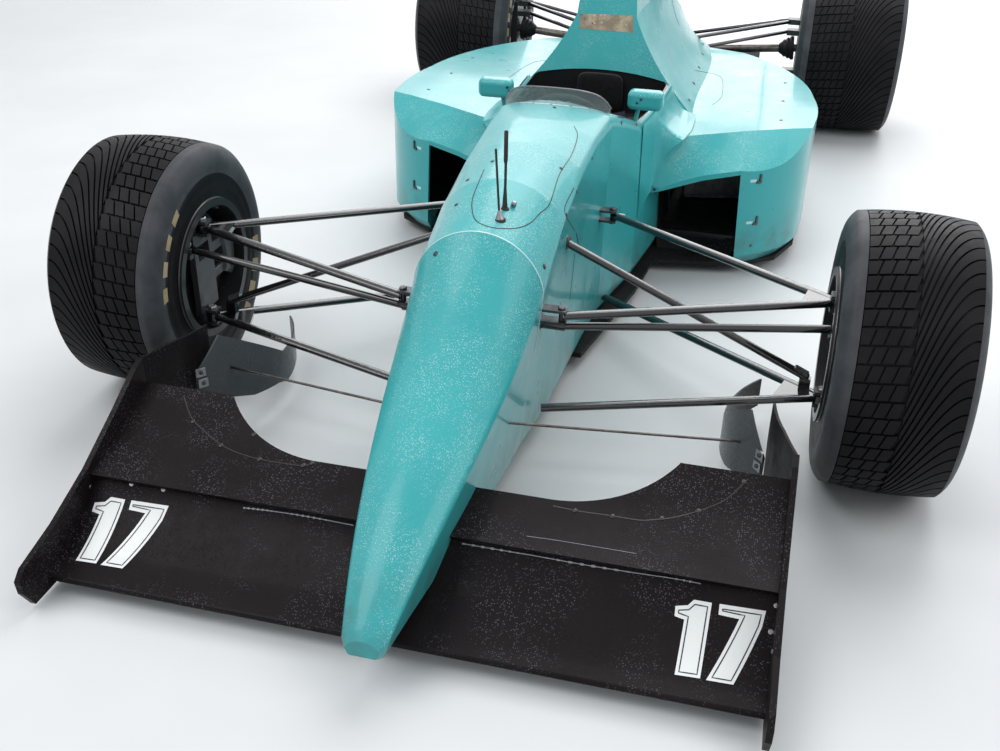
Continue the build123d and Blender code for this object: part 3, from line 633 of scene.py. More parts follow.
class Tyre:
    """A wet weather tyre. Its own u runs outward from the middle of the tread."""

    def __init__(self, name, body, sign, centre, radius, half, bead, rows, columns, sweep):
        self.name, self.body, self.sign, self.centre = name, body, sign, centre
        self.radius, self.half, self.bead = radius, half, bead
        self.rows, self.columns, self.sweep = rows, columns, sweep
        self.tread = half - 0.020
        self.inner, self.middle = -0.86 * self.tread, -0.02 * self.tread

    def crown(self, u):
        return self.radius - CROWN_DROP * (u / self.tread) ** 2

    def place(self, u, radius, angle):
        """The point at u across, at a radius and an angle from the top."""
        x = self.sign * (self.centre.x + u)
        return Vector((x, self.centre.y + radius * math.sin(angle), self.centre.z + radius * math.cos(angle)))

    def spot(self, u, s, sink=0.0):
        """The point at u across, s round the tread, sink below its surface."""
        return self.place(u, self.crown(u) - sink, s / self.radius)

    def block(self, build, corner, us, ss):
        """One tread block over lists of u and s, warped by corner(u, s), with its walls."""
        top = [[self.spot(*corner(u, s)) for s in ss] for u in us]
        foot = [[self.spot(*corner(u, s), sink=TREAD_DEPTH * 1.1) for s in ss] for u in us]
        if self.sign > 0:
            top, foot = top[::-1], foot[::-1]
        build.grid(top)
        for edge, low in (
            ([r[0] for r in top], [r[0] for r in foot]),
            ([r[-1] for r in top][::-1], [r[-1] for r in foot][::-1]),
            (top[0][::-1], foot[0][::-1]),
            (top[-1], foot[-1]),
        ):
            build.grid([edge, low])

    def small_blocks(self, build, around):
        pitch = around / self.rows
        width = (self.middle - self.inner) / self.columns
        ss = [GROOVE / 2, pitch / 2, pitch - GROOVE / 2]
        for row in range(self.rows):

            def corner(u, s, row=row):
                keep = 1 if u > self.inner + GROOVE else 0
                lean = BLOCK_LEAN * (s - pitch / 2)
                return u + lean * keep, row * pitch + s + BLOCK_SLANT * (u - self.inner)

            for column in range(self.columns):
                u0 = self.inner + column * width
                self.block(build, corner, [u0 + GROOVE / 2, u0 + width / 2, u0 + width - GROOVE / 2], ss)

    def swept_blocks(self, build, around):
        strips = self.rows // 2
        pitch = around / strips
        span = self.tread - self.middle
        us = [self.middle + GROOVE + (span - GROOVE) * k / SWEEP_STEPS for k in range(SWEEP_STEPS + 1)]
        for strip in range(strips):
            for lane in range(2):

                def corner(u, s, low=strip * pitch + lane * pitch / 2):
                    far = max(0, (self.tread - u) / span)
                    steep = self.sweep * SWEEP_POWER * far ** SLOPE_POWER / span
                    gap = min(GROOVE * math.sqrt(1 + steep * steep), pitch * 0.26)
                    return u, low + gap / 2 + s * (pitch / 2 - gap) - self.sweep * far ** SWEEP_POWER

                self.block(build, corner, us, [0, 0.5, 1])

    def tread_piece(self):
        build = Build()
        around = 2 * math.pi * self.radius
        self.small_blocks(build, around)
        self.swept_blocks(build, around)
        return build.done(f"{self.name}_tread", "tyre_rubber", self.body, 38)

    def profile(self):
        """The carcass from its inboard bead to its outboard one, as (u, radius)."""
        side = (-self.half, (self.radius + RIM_FLANGE_R) / 2)
        edge = self.radius - CROWN_DROP
        foot = (-self.half + 0.003, RIM_FLANGE_R + 0.020)
        wall = arc_points((-self.bead, RIM_FLANGE_R - 0.001), foot, side, 8)
        wall += arc_points(side, (-self.half + 0.005, self.radius - 0.028), (-self.tread, edge), 8)[1:]
        ledge = [(u, self.crown(u)) for u in (-0.95 * self.tread, self.inner)]
        across = [self.inner + (self.tread - self.inner) * k / 12 for k in range(12)]
        base = [(u, self.crown(u) - TREAD_DEPTH) for u in across] + [(self.tread, edge - TREAD_DEPTH)]
        return wall + ledge + base + [(-u, r) for u, r in wall[::-1]]

    def carcass(self):
        """The tyre's body, with a moulded rib on each sidewall and grey shoulders."""
        build = Build()
        ribbed = []
        for u, r in self.profile():
            swell = RIB_PROUD if abs(r - RIB_R) < RIB_HALF else 0.0
            ribbed.append((u + math.copysign(swell, u), r))
        rows = []
        for k in range(CARCASS_STEPS):
            ring = [self.place(u, r, 2 * math.pi * k / CARCASS_STEPS) for u, r in ribbed]
            rows.append(ring if self.sign < 0 else ring[::-1])
        build.grid(rows, closed_rows=True)
        obj = build.done(f"{self.name}_carcass", "tyre_rubber", self.body, 38)
        obj.data.materials.append(looks["shoulder_grey"])
        for polygon in obj.data.polygons:
            centre = polygon.center
            r = math.hypot(centre.y - self.centre.y, centre.z - self.centre.z)
            u = self.sign * centre.x - self.centre.x
            if r > self.radius - SHOULDER_DEPTH and not self.inner <= u <= self.tread:
                polygon.material_index = 1
        return obj

    def marks(self):
        """Plain worn bars of colour round the inboard sidewall."""
        build = Build()
        for group in MARK_GROUPS:
            for k in range(4):
                rows = []
                for j in range(5):
                    angle = -(group + MARK_PITCH * k + MARK_LENGTH * j / 4)
                    row = [self.place(-self.side_at(radius) - 0.0006, radius, angle) for radius in MARK_RADII]
                    rows.append(row if self.sign > 0 else row[::-1])
                build.grid(rows)
        return build.done(f"{self.name}_marks", "ochre", self.body)

    def side_at(self, radius):
        """How far the inboard sidewall stands from the tyre's middle at a radius."""
        wall = sorted(((-u, r) for u, r in self.profile() if u < self.inner), key=lambda row: row[1])
        for (x0, r0), (x1, r1) in zip(wall, wall[1:]):
            if r0 <= radius <= r1:
                return x0 + (x1 - x0) * (radius - r0) / max(r1 - r0, 1e-6)
        return self.half

    def make(self, node):
        carcass = self.carcass()
        self.tread_piece()
        self.marks()
        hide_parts(node)


TYRES = (
    # end, wheel's place, radius, half width, bead half, rows, columns, sweep
    ("front", FRONT_WHEEL, 0.3175, 0.143, 0.142, 52, 4, 0.26),
    ("rear", REAR_WHEEL, 0.334, 0.210, 0.197, 54, 6, 0.34),
)


def make_tyres():
    for end, wheel, *shape in TYRES:
        for side, sign in SIDES:
            tyre = Tyre(f"{end}_tyre_{side}_wet", f"{end}_wheel_{side}", sign, at(*wheel), *shape)
            tyre.make(f"{end}_tyre_{side}")


# Trim laid on the CAD's surfaces
NOSE_TUB = ("nose_cone", "monocoque")

# Panel lines: nodes, width, has a twin, pixels of the photograph
PANEL_LINES = (
    ("monocoque", 0.0022, False, (
        (484.2, 169.7), (477, 186.6), (472.1, 201.2), (473.3, 215.7), (479.4, 223), (493.9, 227.8),
        (515.7, 228.3), (530.3, 223), (540, 213.3), (549.7, 203.6), (559.4, 174.5), (571.5, 155),
        (577.5, 135.7), (573.9, 126))),
    ("monocoque", 0.0022, True, ((573.7, 188), (564.5, 210.6), (574.7, 231))),
    ("monocoque", 0.0060, True, ((576.2, 233), (577.4, 239), (578.4, 245))),
    ("monocoque", 0.0030, True, ((574.7, 253.5), (572.5, 275), (569.6, 300))),
    (("sidepod_left", "engine_cover"), 0.0025, True, (
        (695, 70.4), (704, 72), (715.8, 74.6), (722.2, 79), (722.7, 91.8), (720, 99), (712, 105))),
    ("sidepod_left", 0.0030, True, ((682.5, 110), (672, 133), (660.7, 158.4), (652, 178), (646.9, 190.6))),
)


def ring_hits(nodes, station, reach=104, steps=44, centre_z=0.36):
    """Hits round a body at a station, from its left sill over the top to its right one."""
    hits = []
    for k in range(steps + 1):
        angle = math.radians(reach * (1 - 2 * k / steps))
        out = Vector((math.sin(angle), 0, math.cos(angle)))
        hits.append(cast(nodes, at(0, station, centre_z) + out * 2, -out))
    return [hit for hit in found(hits) if abs(hit[0].x) < 0.35]


def make_panel_lines():
    lines, lip, joints = Build(), Build(), Build()
    for nodes, width, twin, pixels in PANEL_LINES:
        for hits in both(pixel_line(nodes, pixels), twin):
            lines.seam(hits, width)
    lip.seam(ring_hits(NOSE_TUB, -0.234), 0.0034, 0.0009)
    joints.seam(ring_hits("engine_cover", 2.05, 70, 36, 0.5), 0.003)
    for _, sign in SIDES:
        hits = [from_side("engine_cover", sign, station, 0.80) for station in (1.42, 1.55, 1.7, 1.85, 2.0)]
        joints.seam(found(hits), 0.0025)
    lines.done("panel_lines", "seam")
    lip.done("nose_joint_lip", "lip")
    joints.done("cover_seams", "seam")


# Fasteners: nodes, radius, height, has a twin, pixels
FASTENERS = (
    (NOSE_TUB, 0.0065, 0.0016, False, ((435.7, 253.8), (544.3, 266.6))),
    ("monocoque", 0.0052, 0.0014, False, (
        (492.7, 161.2), (561.3, 168.4), (576.8, 191.5), (566.6, 215), (467.7, 180), (456.3, 204.8),
        (554.5, 107.5))),
    ("monocoque", 0.0045, 0.0014, True, ((636.5, 124.5),)),
    ("sidepod_left", 0.0050, 0.0014, True, ((750.6, 245.5), (654.4, 189.4))),
    ("mirrors", 0.0040, 0.0014, False, ((507.2, 87.3), (509.3, 91), (641, 99.4), (637, 103))),
)

# Stations of the fasteners that the photograph shows only in part
FLANK_STATIONS = (0.30, 0.62)
COVER_STATIONS = (1.45, 1.70, 1.95, 2.20, 2.45, 2.70)
POD_STATIONS = (1.32, 1.60, 1.90, 2.15)


def make_fasteners():
    build = Build()

    def screws(hits, radius, height):
        for point, normal in found(hits):
            build.stud(point, normal, radius, height)
            turn = frame_of(normal, Vector((1, 0.3, 0)))
            build.slab(point + normal * height, (radius * 0.62, radius * 0.14, 0.0004), turn)

    for nodes, radius, height, twin, pixels in FASTENERS:
        for hit in found(at_pixel(nodes, *pixel) for pixel in pixels):
            for hits in both([hit], twin):
                screws(hits, radius, height)
    for side, sign in SIDES:
        slant = Vector((-sign, 0, -0.9)).normalized()
        screws([from_side("monocoque", sign, station, 0.60) for station in FLANK_STATIONS], 0.005, 0.0014)
        cover = [cast("engine_cover", at(sign * 0.9, station, 1), slant) for station in COVER_STATIONS]
        screws(cover, 0.007, 0.0018)
        screws([drop(f"sidepod_{side}", sign * 0.60, station) for station in POD_STATIONS], 0.006, 0.0016)
    build.done("quarter_turn_fasteners", "fastener")


# Pod front clips: a hooked black spring with its pale tape beside it
CLIP_PIXELS = ((760.6, 178), (756.4, 219.7))


def make_pod_clips():
    clips, tapes = Build(), Build()
    for px, py in CLIP_PIXELS:
        pair = found((at_pixel("sidepod_left", px, py), at_pixel("sidepod_left", px - 7, py + 3)))
        if len(pair) < 2:
            continue
        for (spring, normal), (tape, tape_normal) in both(pair):
            turn = frame_of(normal, UPRIGHT)
            clips.slab(spring + normal * 0.002, (0.012, 0.0035, 0.0025), turn)
            low = spring + turn @ Vector((-0.011, 0, 0))
            across = (tape - spring).normalized()
            clips.slab(low + across * 0.005 + normal * 0.002, (0.004, 0.008, 0.0022), turn)
            tapes.slab(tape, (0.0045, 0.011, 0.0006), frame_of(tape_normal, UPRIGHT))
    clips.done("pod_clips", "fastener")
    tapes.done("pod_clip_tapes", "lip")


# Flat marks that lie on a surface
def decal(build, corners, nodes, lift, step=0.010):
    """A face over corner points (x, y), cut fine and let down on to the nodes from above."""
    bm = bmesh.new()
    bm.faces.new([bm.verts.new((x, y, 0)) for x, y in corners])
    bmesh.ops.triangulate(bm, faces=bm.faces[:])
    for _ in range(7):
        long_edges = [e for e in bm.edges if e.calc_length() > step * 1.6]
        if not long_edges:
            break
        bmesh.ops.subdivide_edges(bm, edges=long_edges, cuts=1)
        bmesh.ops.triangulate(bm, faces=[f for f in bm.faces if len(f.verts) > 4])
    verts = []
    for v in bm.verts:
        v.index = len(verts)
        hit = above(nodes, v.co.x, v.co.y)
        verts.append(hit[0] + hit[1] * lift if hit else Vector((v.co.x, v.co.y, 0.05)))
    build.add(verts, [[v.index for v in f.verts] for f in bm.faces])
    bm.free()


def shrunk(corners, by):
    """The outline moved inward by a distance."""
    points = [Vector(c) for c in corners]
    area = sum(a.x * b.y - b.x * a.y for a, b in zip(points, points[1:] + points[:1]))
    flip = 1 if area > 0 else -1

    def inward(a, b):
        return Vector((-(b - a).y, (b - a).x)).normalized() * flip

    out = []
    for i, p in enumerate(points):
        before = inward(points[i - 1], p)
        n = before + inward(p, points[(i + 1) % len(points)])
        n = n / max(n.dot(before), 0.35) if n.length > 1e-6 else before
        out.append(p + n * by)
    return [(p.x, p.y) for p in out]


# The racing number, as outlines in pixels of the photograph
NUMBER_OUTLINES = (
    ((694.1, 599.7), (711.9, 602.9), (700, 678.6), (674.5, 674.7), (684.2, 619.7), (674.5, 616.1),
     (675.5, 605.9), (687.8, 605.3)),
    ((719.6, 603.9), (766.1, 611), (761.9, 627.6), (733.2, 684.9), (705.9, 680.2), (734.2, 629.6),
     (739.2, 619.2), (718.4, 614.7)),
)
NUMBER_INSET, NUMBER_LINE = 0.0065, 0.0022


def make_numbers():
    """The traced number and its copy on the wing's other half, each with a black line inside its edge."""
    plane = "front_wing_mainplane"
    white, black = Build(), Build()
    outlines = []
    for pixels in NUMBER_OUTLINES:
        points = [at_pixel(plane, *pixel)[0] for pixel in pixels]
        outlines.append([(p.x, p.y) for p in points])
    span = [x for flat in outlines for x, _ in flat]
    across = min(span) + max(span)
    for flat in outlines + [[(x - across, y) for x, y in flat] for flat in outlines]:
        decal(white, flat, plane, 0.0006)
        inner = shrunk(flat, NUMBER_INSET)
        hits = []
        for (ax, ay), (bx, by) in zip(inner, inner[1:] + inner[:1]):
            count = max(2, int(math.hypot(bx - ax, by - ay) / 0.010))
            for k in range(count):
                hits.append(above(plane, ax + (bx - ax) * k / count, ay + (by - ay) * k / count))
        black.seam(found(hits + hits[:1]), NUMBER_LINE, 0.0011)
    white.done("wing_numbers", "white")
    black.done("wing_number_lines", "line_black")


# Front wing: a pale line painted as a highlight along the flap's edge, a glint painted as a grey line,
# cut-out strips with their screws, end plate bolts
FLAP_EDGE_HIGHLIGHT = (
    ((243.4, 507.8), (262, 509.8), (281, 512.4), (302, 515.6), (325, 519.8), (353.6, 525.4)),
    ((462.1, 543.5), (500, 550), (534.5, 555.8), (580, 564.0), (626, 571.5), (674.9, 578.8), (700.6, 583.7)),
)
FLAP_STRIP = (
    ((183.7, 396), (191.7, 417.9), (205, 431.5), (220.4, 444.3), (238, 453), (259.4, 459.2), (284, 463.5),
     (303.1, 465.7), (312, 463.4)),
    ((748, 479), (742.1, 485.2), (726.3, 499.1), (713, 505.8), (698.6, 511), (674.9, 517.3), (655, 519.6),
     (639.3, 520.2), (611.6, 515.9), (580, 511.4), (553.2, 506)),
)
FLAP_SCREWS = ((192.9, 421.4), (220.9, 445.3), (259.4, 459.1), (303.1, 465.4), (253.7, 434.5), (312, 463.0),
               (744, 482), (698.6, 511), (662, 518.4), (612.6, 516.2), (575, 510.6))
FLAP_GLINT = ((526.4, 536.2), (560, 541), (600, 547.6), (636.3, 553.7))
PLATE_BOLTS = ((90.5, 486.5), (131.5, 484.0), (163.5, 489.5), (776.5, 605.5), (772.5, 651.5), (771, 632))

# Bolts through each end plate into the wing, as stations and heights
WING_BOLTS = ((-0.86, 0.066), (-0.76, 0.075), (-0.62, 0.118), (-0.56, 0.145))


def make_wing_trim():
    flaps, plates = "front_wing_flaps", "front_wing_end_plates"
    wing = ("front_wing_mainplane", flaps)
    flap_highlight, glint_line, strips, screws, bolts = [Build() for _ in range(5)]
    # A pale line along the flap's leading edge, painted as a highlight
    for pixels in FLAP_EDGE_HIGHLIGHT:
        hits = pixel_line(wing, pixels, 12)
        flap_highlight.seam(hits, 0.0016)
        # Ragged patches of the painted highlight, of uneven length and width
        for k in range(0, len(hits) - 4, 3):
            flap_highlight.seam(hits[k:k + 2 + (k * 7) % 3], 0.0030 + 0.0014 * math.sin(k * 2.3), 0.0009)
    # A glint painted as a thin grey line across the wing
    glint_line.seam(pixel_line(wing, FLAP_GLINT), 0.0011)
    for pixels in FLAP_STRIP:
        strips.seam(pixel_line(flaps, pixels), 0.0024)
    screws.studs([at_pixel(flaps, *pixel) for pixel in FLAP_SCREWS], 0.0050, 0.0016)
    bolts.studs([at_pixel((*wing, plates), *pixel) for pixel in PLATE_BOLTS], 0.0055, 0.0022, 8)
    for _, sign in SIDES:
        bolts.studs([from_side(plates, sign, station, z) for station, z in WING_BOLTS], 0.0065, 0.0024, 8)
    flap_highlight.done("flap_painted_edge_highlight", "painted_edge_highlight")
    glint_line.done("flap_painted_glint", "smoke_edge")
    strips.done("flap_strip_seams", "line_black")
    screws.done("flap_screws", "line_black")
    bolts.done("end_plate_bolts", "bare_metal")


# Brackets that hold each vane to its end plate, in pixels
VANE_BRACKETS = ((759.8, 428.5), (761.2, 441.0), (760.0, 455.2), (757.2, 465.8))


def make_vane_brackets():
    plates, bolts = Build(), Build()
    for hit in found(at_pixel(("turning_vanes", "front_wing_end_plates"), *pixel) for pixel in VANE_BRACKETS):
        for point, normal in (hit, mirrored(hit)):
            plates.slab(point + normal * 0.001, (0.011, 0.012, 0.0016), frame_of(normal, UPRIGHT))
            bolts.stud(point + normal * 0.0026, normal, 0.0050, 0.0030, 6)
    plates.done("vane_brackets", "bare_metal")
    bolts.done("vane_bracket_bolts", "fastener")


# The screen: half its width, the station of its sides, and the arc that cuts its top edge
SCREEN_HALF, SCREEN_MIDDLE, SCREEN_SIDES = 0.146, 0.505, 0.588
SCREEN_CENTRE, SCREEN_RADIUS = (0.45505, 0.56311), 0.15609
SEAL_HALF, SEAL_MIDDLE, SEAL_FAN = 0.1475, 0.503, 62


def bowed(x, middle):
    """The station of the screen's foot at x, where its middle stands at another."""
    return middle + (SCREEN_SIDES - SCREEN_MIDDLE) * (x / SCREEN_HALF) ** 2


def make_screen_trim():
    """A pale sealing strip and rivets along the screen's foot, and a bead along its top edge."""
    strip, rivets, rim = Build(), Build(), Build()
    hits = []
    for k in range(29):
        angle = math.radians(-SEAL_FAN + 2 * SEAL_FAN * k / 28)
        x = SEAL_HALF * math.sin(angle) / math.sin(math.radians(SEAL_FAN))
        hits.append(drop("monocoque", x, bowed(x, SEAL_MIDDLE) - 0.004))
    strip.seam(found(hits), 0.007, 0.0008)
    rivets.studs(hits[2::4], 0.0032, 0.0014)
    edge = []
    for k in range(33):
        x = -SCREEN_HALF + 2 * SCREEN_HALF * k / 32
        station = bowed(x, SCREEN_MIDDLE)
        point = None
        for _ in range(3):
            reach = SCREEN_RADIUS ** 2 - (station - SCREEN_CENTRE[0]) ** 2
            top = SCREEN_CENTRE[1] + math.sqrt(max(reach, 0))
            hit = cast("windscreen", at(x, station - 0.03, top - 0.006), REARWARD)
            if not hit:
                break
            station = hit[0].y + MID
            point = Vector((x, hit[0].y + 0.0022, top))
        if point:
            edge.append(point)
    rim.rod(edge, 0.0026, 8)
    strip.done("screen_seal", "lip", slot="screen")
    rivets.done("screen_rivets", "fastener")
    rim.done("screen_edge_bead", "smoke_edge", slot="screen")


AERIALS = (
    # x, station, ring radius, cone radius, cone height, is the short one
    (0.032, -0.176, 0.013, 0.0085, 0.026, True),
    (0.032, -0.135, 0.010, 0.0060, 0.058, False),
)


def make_aerial_bases():
    dark, bright = Build(), Build()
    for x, station, ring, cone, height, short in AERIALS:
        foot = at(x, station, drop("monocoque", x + 0.016, station)[0].z - 0.001)
        aim = Vector((-0.06, 0, 1)).normalized() if short else UPRIGHT
        dark.lathe(foot, aim, ((-0.004, ring), (0.004, ring), (0.007, ring * 0.86)), 20)
        profile = ((0.005, cone * 1.2), (0.010, cone), (height * 0.6, cone * 0.72), (height, cone * 0.45))
        (bright if short else dark).lathe(foot, aim, profile, 16)
        if not short:
            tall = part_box("antennas")[1][2] - foot.z
            tip = ((-0.07, 0.0036), (-0.064, 0.0046), (-0.002, 0.0046), (0.001, 0.003))
            dark.lathe(foot, aim, [(tall + along, radius) for along, radius in tip], 12)
    point, normal = drop("monocoque", 0.047, -0.118)
    bright.lathe(point, normal, ((-0.002, 0.005), (0.004, 0.0062), (0.009, 0.0060), (0.013, 0.003)), 14)
    dark.done("aerial_feet", "trim_black")
    bright.done("aerial_cones", "bare_metal")


MIRROR_X, MIRROR_Z = 0.218, 0.628
MIRROR_HALF = (0.040, 0.019)
MIRROR_POWER = 0.55


def squared(value, power):
    """A sine or cosine that stays longer near its ends, for rounded rectangles."""
    return math.copysign(abs(value) ** power, value)


def make_mirror_glass():
    """The glass in each mirror's back, in its black rubber rim."""
    glass, rim = Build(), Build()
    half_x, half_z = MIRROR_HALF
    outline = [(squared(c, MIRROR_POWER) * half_x, squared(s, MIRROR_POWER) * half_z) for c, s in circle(36)]
    for _, sign in SIDES:
        centre = Vector((sign * MIRROR_X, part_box("mirrors")[1][1], MIRROR_Z))
        for build, size, depth in ((rim, 1.10, 0.0006), (glass, 1.0, 0.0016)):
            levels = ((1.0, -0.003), (1.0, depth), (0.93, depth + 0.0006), (0.4, depth + 0.0012))
            build.grid([
                [centre + Vector((x * size * scale, off, z * size * scale)) for x, z in outline]
                for scale, off in levels
            ], closed_cols=True)
            build.cap(len(build.verts) - len(outline), len(outline))
    rim.done("mirror_rims", "trim_black")
    glass.done("mirror_glass", "mirror")


# Cockpit
PAD_HALF_STEPS, PAD_STEPS = 14, 48

# Powers that square the cushion's outline, its flat faces and its edge, then its waists
PAD_OUTLINE, PAD_FACE, PAD_EDGE = 0.34, 0.32, 0.75
PAD_PINCH, PAD_WAIST = 0.05, 0.06


def pad(name, node, swell):
    """A crowned cushion in the box of its CAD solid, with a welt round its middle."""
    low, high = box_of(node)
    centre, half = (low + high) / 2, (high - low) / 2
    build, welt = Build(), Build()
    rows = []
    for i in range(PAD_HALF_STEPS * 2 + 1):
        lat = -math.pi / 2 + math.pi * i / (PAD_HALF_STEPS * 2)
        flat, y = abs(math.cos(lat)) ** PAD_FACE, squared(math.sin(lat), PAD_EDGE)
        ring = []
        for c, s in circle(PAD_STEPS):
            x, z = squared(c, PAD_OUTLINE) * flat, squared(s, PAD_OUTLINE) * flat
            pinch = 1 - PAD_PINCH * (abs(z) * (1 - x * x))
            crown = 1 - swell * (x * x + z * z) / 2
            waist = 1 - PAD_WAIST * (1 - z * z)
            ring.append(centre + Vector((half.x * x * pinch, half.y * y * crown, half.z * z * waist)))
        rows.append(ring)
    build.grid(rows, closed_cols=True)
    obj = build.done(name, "pad_fabric", sharp=60)
    middle = rows[PAD_HALF_STEPS]
    welt.rod(middle + middle[:1], 0.0024, 8)
    welt.done(f"{name}_welt", "trim_black")
    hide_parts(node)


# Instruments: x, height and radius of each dial, the needle's angle, and the row of toggles
DIALS = ((0, 0.585, 0.026), (-0.058, 0.582, 0.018), (0.058, 0.582, 0.018))
NEEDLE = -1.9
TOGGLE_X, TOGGLE_PITCH, TOGGLE_Z = -0.07, 0.035, 0.540


def hand(angle):
    """The direction on an upright face at a clock angle."""
    return Vector((math.sin(angle), 0, math.cos(angle)))


def make_instruments():
    """A wide dial between two small ones, and toggles below them."""
    face_y = box_of("dashboard")[1].y
    dials, bezels, marks = Build(), Build(), Build()
    for x, z, r in DIALS:
        centre = Vector((x, face_y, z))
        bezels.lathe(centre, REARWARD, ((-0.002, r), (0.005, r), (0.006, r * 0.92), (0.003, r * 0.88)))
        dials.lathe(centre, REARWARD, ((-0.001, r * 0.88), (0.0032, r * 0.88), (0.0036, r * 0.5)))
        for k in range(11):
            way = hand(math.radians(-130 + 26 * k))
            spot = centre + way * r * 0.72 + REARWARD * 0.0040
            marks.slab(spot, (r * 0.10, 0.0006, 0.0003), frame_of(REARWARD, way))
        way = hand(NEEDLE)
        spot = centre + way * r * 0.3 + REARWARD * 0.0044
        marks.slab(spot, (r * 0.38, 0.0008, 0.0004), frame_of(REARWARD, way))
    for k in range(5):
        centre = Vector((TOGGLE_X + TOGGLE_PITCH * k, face_y, TOGGLE_Z))
        bezels.lathe(centre, REARWARD, ((-0.001, 0.006), (0.003, 0.006), (0.004, 0.003)), 8)
        marks.rod([centre, centre + Vector((0, 0.014, 0.006))], [0.0016, 0.0026], 8)
    bezels.done("dash_bezels", "trim_black")
    dials.done("dash_dials", "gauge")
    marks.done("dash_marks", "white", slot="trim_black")


# The harness: a shoulder and a lap strap as x, station and height, and the buckle
STRAPS = (
    ((0.070, 1.285, 0.432), (0.074, 1.262, 0.425), (0.078, 1.20, 0.350), (0.070, 1.13, 0.262),
     (0.040, 1.075, 0.198)),
    ((0.155, 1.12, 0.262), (0.120, 1.085, 0.205), (0.075, 1.062, 0.186), (0.030, 1.055, 0.180)),
)
STRAP_HALF, STRAP_THICK = 0.024, 0.0012
BUCKLE = (0, 1.062, 0.193)


def make_harness():
    straps, buckle = Build(), Build()
    for _, sign in SIDES:
        for path in STRAPS:
            line = smooth_path([at(sign * x, station, z) for x, station, z in path], 5)
            rows = []
            for i, point in enumerate(line):
                along = (line[min(i + 1, len(line) - 1)] - line[max(i - 1, 0)]).normalized()
                across = along.cross(Vector((0, -0.75, 0.66))).normalized() * STRAP_HALF
                lift = across.cross(along).normalized() * STRAP_THICK
                rows.append([point - across - lift, point - across + lift, point + across + lift,
                             point + across - lift])
            straps.grid(rows, closed_cols=True)
    profile = ((-0.008, 0.030), (0.004, 0.030), (0.008, 0.025), (0.010, 0.012))
    buckle.lathe(at(*BUCKLE), Vector((0, -0.5, 0.85)).normalized(), profile, 28)
    straps.done("harness_straps", "strap")
    buckle.done("harness_buckle", "bare_metal")


COLUMN_AXIS = Vector((0, 0.9439, 0.3304)).normalized()


def make_steering_boss():
    """A boss plate with six screws on the steering wheel's hub."""
    rim_points = [v.co for v in frame["nodes"]["steering_wheel"].data.vertices if abs(v.co.x) > 0.11]
    centre = sum(rim_points, Vector()) / len(rim_points)
    centre.x = 0
    axis = COLUMN_AXIS
    boss, screws = Build(), Build()
    top = cast("steering_wheel", centre + axis * 0.2, -axis)[0]
    profile = ((-0.002, 0.030), (0.005, 0.030), (0.008, 0.026), (0.009, 0.010))
    boss.lathe(top - axis * 0.001, axis, profile, 28)
    side = Vector((1, 0, 0))
    other = axis.cross(side)
    for k in range(6):
        angle = math.pi * k / 3
        spot = top + (side * math.cos(angle) + other * math.sin(angle)) * 0.021 + axis * 0.007
        screws.stud(spot, axis, 0.0032, 0.0018, 6)
    boss.done("steering_boss", "bare_metal", "steering_wheel")
    screws.done("steering_boss_screws", "fastener", "steering_wheel")


# The fairing's tape in pixels: left end, width, height and fall of its two long edges
TAPE_TOP, TAPE_FOOT = (579.8, 53.4, 13.9, 1.5, 1.5), (579.6, 53.6, 28.3, 4.6, 1)
TAPE_COLUMNS, TAPE_ROWS = 14, 5


def tape_edge(left, width, top, fall, power):
    return [
        (left + width * k / TAPE_COLUMNS, top + fall * (k / TAPE_COLUMNS) ** power)
        for k in range(TAPE_COLUMNS + 1)
    ]


def make_tape():
    """A worn strip of plain tape across the fairing."""
    edges = list(zip(tape_edge(*TAPE_TOP), tape_edge(*TAPE_FOOT)))
    build = Build()
    rows = []
    for j in range(TAPE_ROWS + 1):
        hits = [
            at_pixel("engine_cover", ax + (bx - ax) * j / TAPE_ROWS, ay + (by - ay) * j / TAPE_ROWS)
            for (ax, ay), (bx, by) in edges
        ]
        if all(hits):
            rows.append([point + normal * 0.0008 for point, normal in hits])
    build.grid(rows)
    build.done("fairing_tape", "tape")


# Front suspension fittings
UPPER_PICKUPS = ((0.186, -0.206, 0.409), (0.190, 0.476, 0.386))
KINGPIN = (0.768, -0.025)
JOINT_Z = (0.436, 0.192)
ROD_PIN = (0.768, -0.105, 0.4215)
PUSHROD_TOP, PUSHROD_FOOT = (0.042, 0.478), (0.731, 0.007, 0.228)
PUSHROD_BOOT = ((-0.004, 0.018), (0.003, 0.018), (0.006, 0.018 * 0.8))


def make_suspension_fittings():
    bolts, bright = Build(), Build()
    for _, sign in SIDES:
        for x, station, z in UPPER_PICKUPS:
            spot = at(sign * (x - 0.004), station, z)
            for way in (UPRIGHT, DOWN):
                bolts.stud(spot + way * 0.017, way, 0.0095, 0.0055, 6)
            bright.rod([spot + Vector((sign * 0.004, 0, 0)), spot + Vector((sign * 0.034, 0.003, 0.001))],
                       [0.0085, 0.0062])
        # The boot where the pushrod enters the tub
        bolts.lathe(*from_side("monocoque", sign, *PUSHROD_TOP), PUSHROD_BOOT, 20)
        # The pushrod's eye and lock nut at the wheel
        foot = sided(sign, *PUSHROD_FOOT)
        bright.rod([foot, foot + Vector((-sign * 0.030, 0.0005, 0.016))], [0.0105, 0.0085], 6)
    bolts.done("suspension_bolts", "fastener")
    bright.done("rod_ends", "bare_metal")
    for side, sign in SIDES:
        nuts = Build()
        for z in JOINT_Z:
            for way in (1, -1):
                spot = at(sign * KINGPIN[0], KINGPIN[1], z + way * 0.0205)
                nuts.stud(spot, UPRIGHT * way, 0.0115, 0.0065, 6)
        nuts.stud(sided(sign, *ROD_PIN), UPRIGHT, 0.0085, 0.0050, 6)
        nuts.done(f"kingpin_nuts_{side}", "bare_metal", f"knuckle_{side}")


